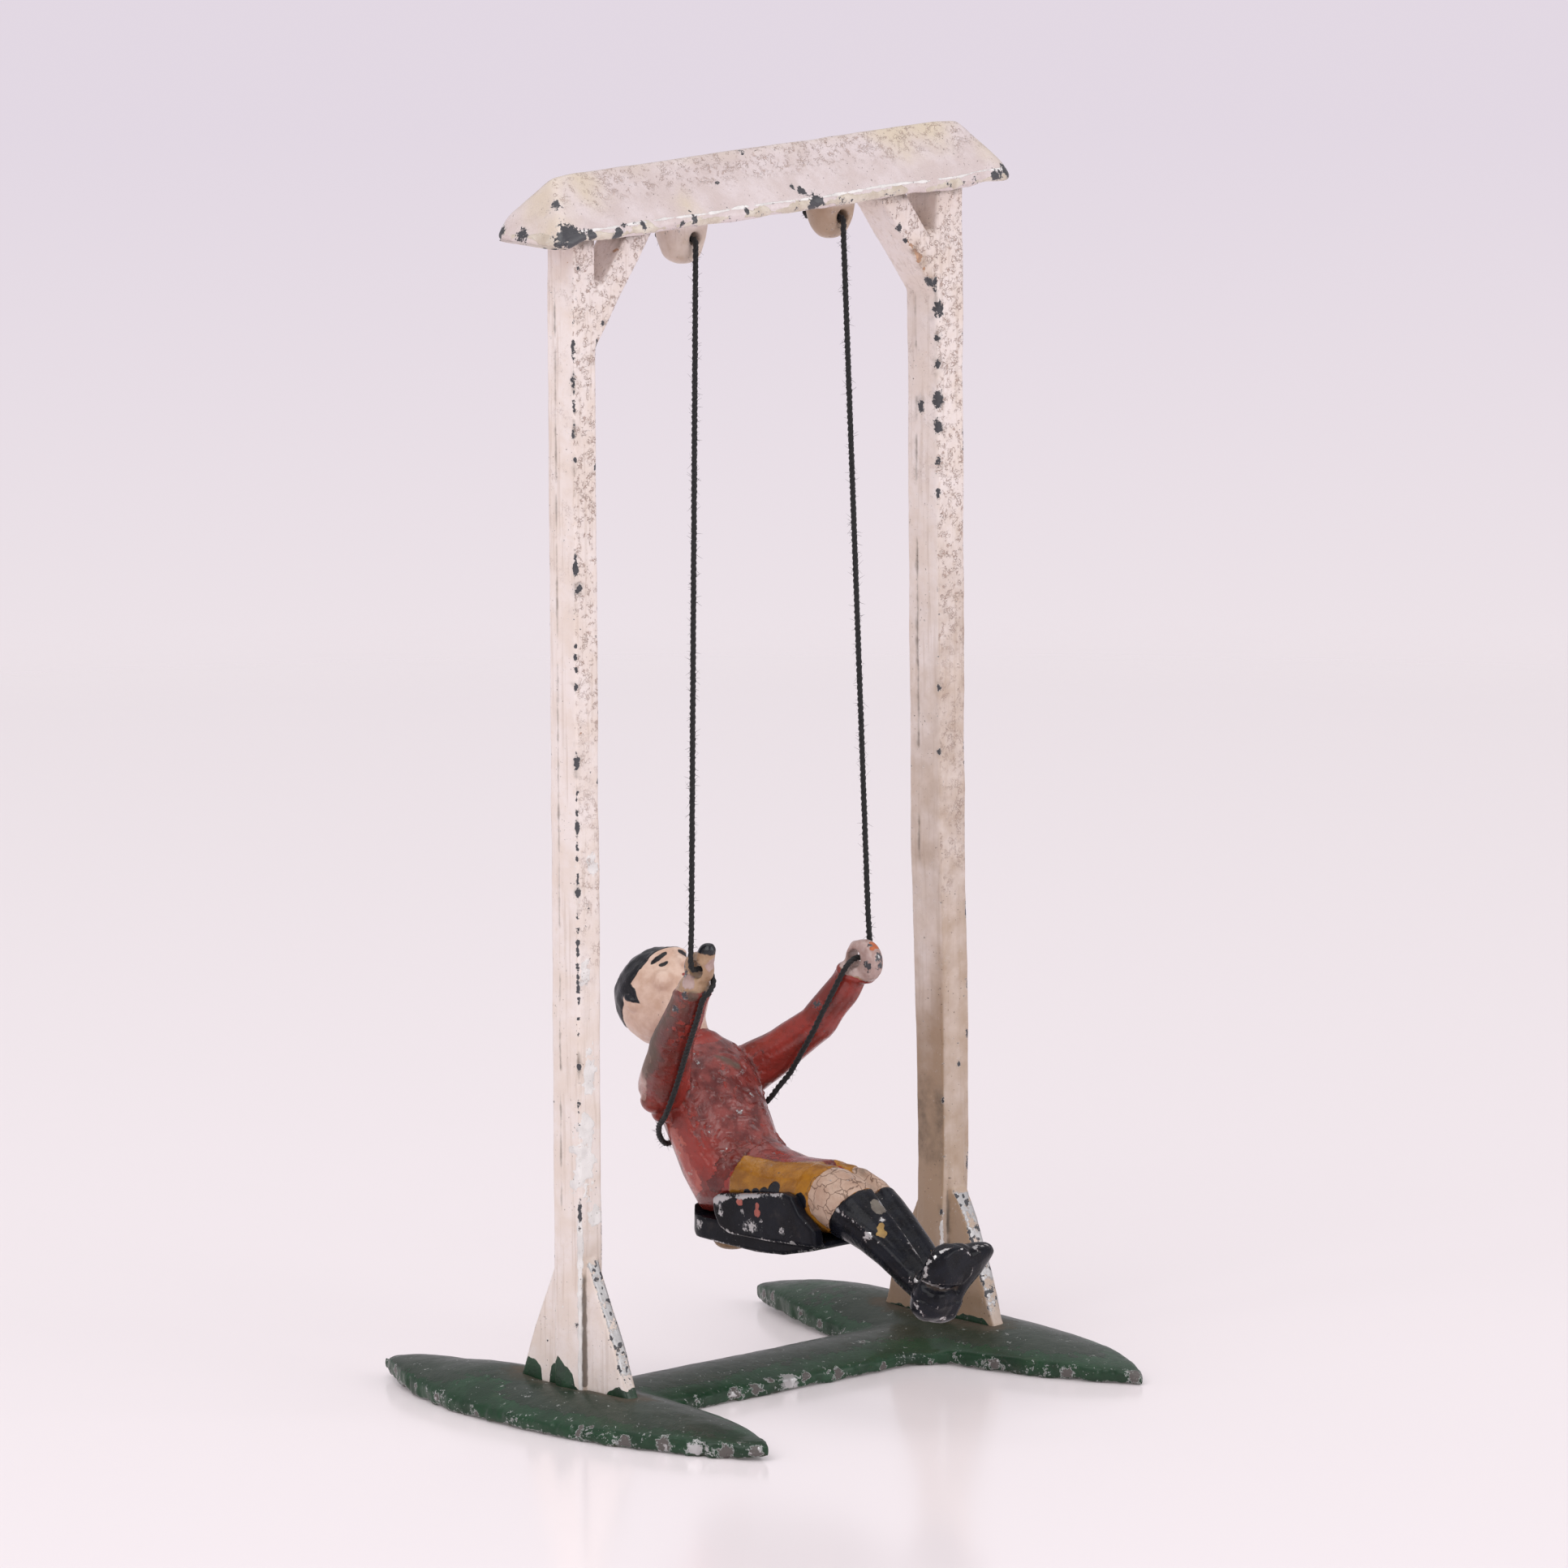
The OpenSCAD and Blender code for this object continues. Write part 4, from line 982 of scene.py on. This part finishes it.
def carve_boy(mesh):
    """Folds, hems, cuffs, hair and eye hollows, and the dimples on the chest."""
    points, normals, x, y, z, side, up, ahead = on_boy(mesh)
    on_head_part = (up > -3.6) & (side < 4.2) & (z > 12)
    amount = 0.6 * cast_grain(points, 4)
    strands = lumps(points * [1, 0.5, 0.5], 0.42, 41)
    hair = step(hair_edge(side, up, ahead), -0.05, 0.2) * on_head_part
    amount += hair * (0.12 + 0.06 * strands)
    for at in (-1.3, 1.3):
        hollow = np.exp(-((x - at) ** 2 + (up - 0.05) ** 2) / 0.3) * (ahead > 2)
        amount -= 0.22 * hollow * on_head_part
    mouth = np.exp(-(np.maximum(side - 0.6, 0) ** 2 + (up + 1.82) ** 2) / 0.02) * (ahead > 2)
    amount -= 0.1 * mouth * on_head_part
    chest = step(-normals[:, 1] + 0.6 * normals[:, 2], 0, 0.8) * (side < 4.6)
    chest = chest * (z > 1.5) * (y > -2) * (z < 11.5)
    slanted = points @ np.array([[0.8, 0.3, 0], [-0.3, 1, 0], [0.5, 0, 1.2]])
    dimples = step(lumps(slanted, 0.62, 42), 0.25, 0.75) - 0.8 * step(lumps(slanted, 0.55, 43), 0.25, 0.75)
    amount += 0.15 * dimples * chest
    amount += 0.12 * hump(cuff_edge(x, y, z) + 0.3, 0.28) * (side > 6.5)
    folds = np.sin(2.2 * z + 0.9 * y + 2 * lumps(points, 3, 44))
    amount += 0.05 * folds * (side > 4.6) * (z > 8) * (z < 18)
    hem, stocking = knee_edges(y, z)
    amount += 0.12 * step(-hem, 0, 0.25) * (y < -1.8) * (z < 6)
    amount += 0.1 * step(stocking, 0, 0.25) * (z < 8)
    collar = (points - neck_at) @ neck_way
    amount += 0.14 * hump(collar + 0.35, 0.3) * (side < 3.2) * (z > 9)
    amount += 0.12 * step(near_line(points, shank_ridge, 0.45), 0, 1)
    amount += 0.2 * step(sole_plate(x, y, z, normals), -0.05, 0.05)
    amount -= 0.35 * step(near_line(points, heel_crease, 0.6), 0, 0.9)
    amount -= 0.5 * step(near_line(points, leg_groove, 0.7), 0, 0.9)
    carved = points + hip + normals * amount[:, None]
    tucked = 0.62 * step(-z, 3.0, 6.0) * (y < -21.5)
    carved[:, 0] -= tucked * np.maximum(carved[:, 0] + 0.6, 0)
    carved[:, 0] += 0.45 * step(near(points, [(3.4, -25.9, -1.4, 2.0)]), 0, 0.7)
    set_points(mesh, np.clip(carved, low_mm, high_mm))


def moved(meshes):
    for mesh in meshes:
        mesh.transform(Matrix.Translation(Vector(hip)))
    return meshes


def make_boy():
    shapes = [node_in_mm(n) for n in boy_slots]
    mesh = fused("boy", shapes + moved(head_shapes() + limb_shapes()), 0.13, 5)
    drill_hands(mesh)
    carve_boy(mesh)
    boy_maps(mesh)
    for name, part in parted(mesh, list(boy_slots)).items():
        slot_name = boy_slots[name]
        placed(part, "boy_" + name, "boy", [name], boy_paints[slot_name])


def drill_hands(mesh):
    """Keeps the thread's holes open where a finger bulges into them."""
    points = points_of(mesh) - hip
    hole_r = 0.72
    for centre in ((-8.69, -3.4, 20.75), (9.39, -3.4, 19.25)):
        across = points - np.array(centre)
        radial = np.hypot(across[:, 1], across[:, 2])
        inside = (np.abs(across[:, 0]) < 1.6) & (radial < hole_r)
        scale = np.where(inside, hole_r / np.maximum(radial, 0.05), 1)
        points[:, 1:] = centre[1:] + across[:, 1:] * scale[:, None]
    set_points(mesh, points + hip)


seat_chips = [(-5.0, y, z, radius) for y, z, radius in (
    (-5.4, -1.5, 0.9), (-4.7, -1.7, 0.6), (-9.1, -1.4, 0.6), (-1.3, 0.0, 0.9), (-1.5, -0.9, 0.7),
    (-4.2, -0.4, 0.4), (-6.6, -0.8, 0.35), (-10.4, -2.3, 0.5),
)] + [(-3.8, 2.5, -2.6, 0.8), (-4.0, 4.0, -2.0, 0.8), (-3.5, 4.4, -1.5, 0.7)]
cheek_rim = [(-5.0, -0.7, 0.1), (-5.0, -1.9, 0.45), (-5.0, -5.0, 1.1), (-5.0, -9.0, 1.8)]
cheek_low_rim = [(-5.0, -1.0, -1.9), (-5.0, -3.0, -2.55), (-5.0, -8.0, -2.5), (-5.0, -12.8, -2.2)]
board_rim = [
    (-3.9, 4.2, -2.4), (-3.9, 3.0, -3.8), (-3.9, -4.4, -4.0), (-3.9, -7.8, -3.8), (-3.9, -13.0, -2.4),
]


def make_seat():
    stub = moved([ball((-0.9, 1.2, -4.2), (1.9, 1.5, 0.8))])
    mesh = fused("seat", [node_in_mm("seat")] + stub, 0.14, 4)
    shift(mesh, 0.8 * cast_grain(points_of(mesh), 5))
    points = points_of(mesh) - hip
    y, z = points.T[1:]
    edge = edge_map(mesh)
    lines = 1.2 * near_line(points, cheek_rim, 0.42) + 0.8 * near_line(points, cheek_low_rim, 0.3)
    lines += 0.75 * near_line(points, board_rim, 0.3)
    lines *= 0.7 + 0.5 * lumps(points, 1.0, 52)
    salmon_spots = [(-5, -6.1, -0.2, 0.6), (-5, -6.1, 0.35, 0.42), (-5, -3.9, 0.35, 0.55)]
    paint_maps(
        mesh,
        edge=edge,
        wear=edge * (0.14 + 0.16 * lumps(points, 1.5, 51)) + near(points, seat_chips) + lines,
        to_salmon=near(points, salmon_spots) - 0.4,
        to_beige=step(-z, 4.1, 4.3) * (np.abs(y - 1.4) < 2.2) - 0.4,
        crazed=-1,
        # Darker towards the bottom of the seat.
        dust=0.2 * step(-z, 3, 4.5),
        silver=0.05 + 0.35 * lines,
    )
    placed(mesh, "seat_enamel", "boy", ["seat"], seat_black)


# The thread

wrap_path = [
    (-9.85, -3.4, 20.75), (-9, -3.4, 20.75), (-8.3, -3.4, 20.7), (-7.85, -3.45, 20.4), (-7.7, -3.65, 19.95),
    (-7.8, -3.9, 19.45), (-8.2, -4.1, 19.05), (-8.6, -4.15, 18.7), (-8.95, -3.8, 18.15), (-8.75, -3.2, 17.1),
    (-8.55, -2.55, 16), (-8.05, -1.4, 14.5), (-7.5, -0.2, 13), (-7.05, 0.8, 11.6), (-6.65, 1.95, 9.8),
    (-6.4, 2.8, 8.5), (-6.2, 3.7, 7.1), (-5.8, 4.65, 6.25), (-5.3, 5.65, 5.5), (-4.3, 6.7, 4.4),
    (-2.8, 7.6, 3.4), (-1.5, 8, 3.35), (0, 8.1, 3.6), (1.5, 8, 3.9), (3, 7.5, 4.3), (4.3, 6.6, 4.9),
    (5.1, 5.4, 5.5), (5.3, 4.2, 6.1), (5.3, 3.2, 6.9), (5.5, 2.4, 7.9), (5.9, 1.6, 9), (5.9, 0.9, 9.9),
    (5.7, -0.3, 11.3), (5.9, -1.4, 13.1), (6.25, -2.0, 14.5), (6.55, -2.4, 15.5), (7, -3.0, 17),
    (7.35, -3.5, 18.2), (7.8, -3.7, 18.9), (8.7, -3.5, 19.2), (9.6, -3.4, 19.25), (10.55, -3.4, 19.25),
]
wrap_middle = 22


def smooth_path(points, spacing):
    """Points at an even spacing on a curve through the given points."""
    points = np.array(points, float)
    padded = np.vstack([2 * points[0] - points[1], points, 2 * points[-1] - points[-2]])
    fine = []
    for a, b, c, d in zip(padded[:-3], padded[1:-2], padded[2:-1], padded[3:]):
        for t in np.linspace(0, 1, 24, endpoint=False):
            curve = 2 * b + (c - a) * t + (2 * a - 5 * b + 4 * c - d) * t**2 + (3 * b - a - 3 * c + d) * t**3
            fine.append(curve / 2)
    fine = np.vstack([fine, points[-1:]])
    along = np.concatenate([[0], np.cumsum(np.linalg.norm(np.diff(fine, axis=0), axis=1))])
    count = max(2, round(along[-1] / spacing))
    at = np.linspace(0, along[-1], count + 1)
    return np.column_stack([np.interp(at, along, fine[:, axis]) for axis in range(3)])


def carried_frames(path):
    """Two directions square to the path at each point, without a sudden turn."""
    ahead = np.gradient(path, axis=0)
    ahead /= np.linalg.norm(ahead, axis=1)[:, None]
    across = np.empty_like(path)
    start = np.cross(ahead[0], [0.3, 0.9, 0.2])
    across[0] = start / np.linalg.norm(start)
    for i in range(1, len(path)):
        turned = across[i - 1] - ahead[i] * (across[i - 1] @ ahead[i])
        across[i] = turned / np.linalg.norm(turned)
    return ahead, across, np.cross(ahead, across)


thread_step = 0.1
twist_pitch = 1.5
plies = 3
ring_points = 15
fibre_gap = 0.16


def add_tube(verts, faces, rings, inward=False):
    """A closed tube through rings of points."""
    corners = len(rings[0])
    first = len(verts)
    verts.extend(tuple(p) for ring in rings for p in ring)
    last = len(verts) - corners
    new = [tuple(range(first, first + corners))[::-1]]
    for low in range(first, last, corners):
        for k in range(corners):
            j = (k + 1) % corners
            new.append((low + k, low + j, low + corners + j, low + corners + k))
    new.append(tuple(range(last, last + corners)))
    faces.extend((face[0], *face[:0:-1]) if inward else face for face in new)


def twisted_thread(name, path, random):
    """Three plies of cotton twisted together, with loose fibres that stand off them."""
    line = smooth_path(path, thread_step)
    ahead, across, third = carried_frames(line)
    turns = np.arange(len(line)) * thread_step / twist_pitch * 2 * math.pi
    angle = np.linspace(0, 2 * math.pi, ring_points, endpoint=False)
    bulge = np.abs(np.cos((angle[None] - turns[:, None]) * plies / 2))
    radius = thread_r * (0.6 + 0.33 * bulge) * (1 + 0.06 * random.standard_normal(bulge.shape))
    sideways = (radius * np.cos(angle))[..., None] * across[:, None]
    rings = line[:, None] + sideways + (radius * np.sin(angle))[..., None] * third[:, None]
    verts, faces = [], []
    add_tube(verts, faces, rings)
    for _ in range(round(len(line) * thread_step / fibre_gap)):
        add_fibre(verts, faces, line, ahead, across, third, random)
    mesh = bpy.data.meshes.new(name)
    mesh.from_pydata(verts, [], faces)
    return mesh


def add_fibre(verts, faces, line, ahead, across, third, random):
    """One thin curved fibre, a closed three-sided spike."""
    i = random.integers(2, len(line) - 2)
    turn = random.uniform(0, 2 * math.pi)
    out = math.cos(turn) * across[i] + math.sin(turn) * third[i]
    lean = ahead[i] * random.uniform(-1.2, 1.2)
    length = random.uniform(0.25, 0.75)
    sideways = np.cross(out, ahead[i])
    curl = sideways * random.uniform(-0.4, 0.4)
    corner = np.arange(3)[:, None] * 2 * math.pi / 3
    offsets = np.cos(corner) * ahead[i] + np.sin(corner) * sideways
    rings = []
    for share in np.linspace(0, 1, 5):
        centre = line[i] + out * (thread_r * 0.7) + (out + lean) * length * share * 0.7
        centre = centre + curl * length * share**2
        rings.append(centre + 0.022 * (1 - 0.75 * share) * offsets)
    add_tube(verts, faces, rings, inward=True)


def cotton():
    n = Nodes(bpy.data.materials.new("black_cotton"))
    fuzz = n.noise(0.12, 1.0, detail=4.0)
    colour = n.blend(n.ramp(fuzz, 0.35, 0.8), (0.004, 0.004, 0.0045), (0.018, 0.017, 0.018))
    height = n.times(n.noise(0.06, 2.0), 0.03)
    return n.finish(colour, 0.85, 0.0, height, Sheen_Weight=0.08, Sheen_Roughness=0.6)


def knot_path(x):
    """The knot behind a lug and the thread's run through the hole, along its left side in front."""
    loops = []
    for i in range(22):
        turn = i * 0.9
        wide = 0.34 + 0.05 * math.sin(1.7 * i)
        loops.append((x + wide * math.cos(turn), knot_y - 0.35 + 0.032 * i, bore_z + wide * math.sin(turn)))
    tail = [(x + 1.6, knot_y + 0.7, bore_z - 0.1), (x + 0.9, knot_y + 0.75, bore_z + 0.25)]
    return tail + loops[::-1] + [(x, knot_y - 0.7, bore_z), (x - 0.15, 0, bore_z), (x - 0.28, -1.6, bore_z)]


def make_thread():
    material = cotton()
    random = np.random.default_rng(7)
    halves = [wrap_path[: wrap_middle + 1], wrap_path[wrap_middle:][::-1]]
    for side, x, half in zip(("left", "right"), (-lug_x, lug_x), halves):
        grip = hip + np.array(half[0])
        top = np.array([x - 0.45, hang_y, pivot_z])
        middle = (top + grip) / 2
        bend = [(x - 0.36, hang_y + 0.12, bore_z - 0.12), (x - 0.43, hang_y, bore_z - 0.45), top]
        run = [top + (middle - top) * k / 8 for k in range(1, 9)]
        upper = twisted_thread(side + "_thread_upper", knot_path(x) + bend + run, random)
        low_run = [middle + (grip - middle) * k / 8 for k in range(8)] + [grip + [0, 0, 0.35]]
        wrap = [hip + np.array(p) for p in half[1:]]
        lower = twisted_thread(side + "_thread_lower", low_run + wrap, random)
        piece = placed(
            upper, side + "_thread_upper", None, [side + "_knot", side + "_thread"], material
        )
        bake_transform(piece)
        piece = placed(lower, side + "_thread_lower", None, ["thread_wrap"], material)
        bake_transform(piece)


# Stage, light and camera

table_radius = 0.345
photo_px = 1932
photo_focal_px = 24640
sensor_mm = 36
camera_azimuth = math.radians(-42.867)
camera_elevation = math.radians(10.503)
camera_roll = math.radians(-0.308)
camera_distance = 1.67666
camera_target = Vector((2.798, 0, 50.685)) * MM


def add_camera():
    level = math.cos(camera_elevation)
    across, ahead = -math.sin(camera_azimuth) * level, math.cos(camera_azimuth) * level
    look = Vector((across, ahead, -math.sin(camera_elevation)))
    right = look.cross(Vector((0, 0, 1))).normalized()
    up = right.cross(look)
    rolled_right = right * math.cos(camera_roll) + up * math.sin(camera_roll)
    rolled_up = up * math.cos(camera_roll) - right * math.sin(camera_roll)
    data = bpy.data.cameras.new("camera")
    data.sensor_width = sensor_mm
    data.lens = photo_focal_px / photo_px * sensor_mm
    data.clip_start = 0.05
    data.clip_end = 50
    camera = in_scene("camera", data)
    matrix = Matrix((rolled_right, rolled_up, -look)).transposed().to_4x4()
    matrix.translation = camera_target - look * camera_distance
    camera.matrix_world = matrix
    bpy.context.scene.camera = camera


def add_table():
    """A round white table whose far edge fades into the backdrop."""
    build = bmesh.new()
    bmesh.ops.create_circle(build, cap_ends=True, segments=256, radius=table_radius * 1.1)
    mesh = mesh_from(build, "table")
    table = in_scene("table", mesh)
    n = Nodes(bpy.data.materials.new("white_acrylic"))
    away = n.add("VectorMath", {0: n.place}, operation="LENGTH").outputs["Value"]
    shader = n.add("BsdfPrincipled", {
        "Base Color": (0.90, 0.825, 0.85), "Emission Color": (1.0, 0.93, 0.93), "Emission Strength": 0.1,
        "Roughness": 0.16, "Specular IOR Level": 0.35,
    })
    fade = n.ramp(away, table_radius * 0.93, table_radius * 1.07)
    mixed = n.add("MixShader", {0: fade, 1: shader.outputs[0], 2: n.add("BsdfTransparent").outputs[0]})
    n.add("OutputMaterial", {"Surface": mixed.outputs[0]})
    mesh.materials.append(n.owner)
    table.location.z = -0.00002


def add_world():
    """A pale room, a little more lilac well below the table's edge and above it."""
    n = Nodes(bpy.data.worlds.new("room"), "Generated")
    height = n.add("SeparateXYZ", {0: n.place}).outputs["Z"]
    low, high = (
        n.add("MapRange", {0: height, 1: start, 2: end}).outputs[0]
        for start, end in ((-0.178, -0.150), (-0.12, 0.25))
    )
    colour = n.blend(low, (0.85, 0.775, 0.81), (0.765, 0.69, 0.77))
    colour = n.blend(high, colour, (0.50, 0.48, 0.50))
    n.add("OutputWorld", {"Surface": n.add("Background", {"Color": colour}).outputs[0]})
    bpy.context.scene.world = n.owner


def add_light(name, place, size, power, tint=(1, 1, 1)):
    data = bpy.data.lights.new(name, "AREA")
    data.shape = "RECTANGLE"
    data.size, data.size_y = size
    data.energy = power
    data.color = tint
    light = in_scene(name, data)
    light.location = place
    aim = Vector((0, 0, 0.05)) - Vector(place)
    light.rotation_mode = "QUATERNION"
    light.rotation_quaternion = aim.to_track_quat("-Z", "Y")


make_posts()
make_roof()
make_base()
make_boy()
make_seat()
make_thread()
add_camera()
add_table()
add_world()
add_light("key", (-0.75, -0.25, 0.7), (0.9, 0.9), 5.5)
add_light("fill", (0.35, -0.9, 0.4), (0.8, 0.6), 3.2)
add_light("top", (0.1, 0.2, 1.1), (1.0, 1.0), 2.8)
bpy.context.scene.view_settings.view_transform = "Standard"
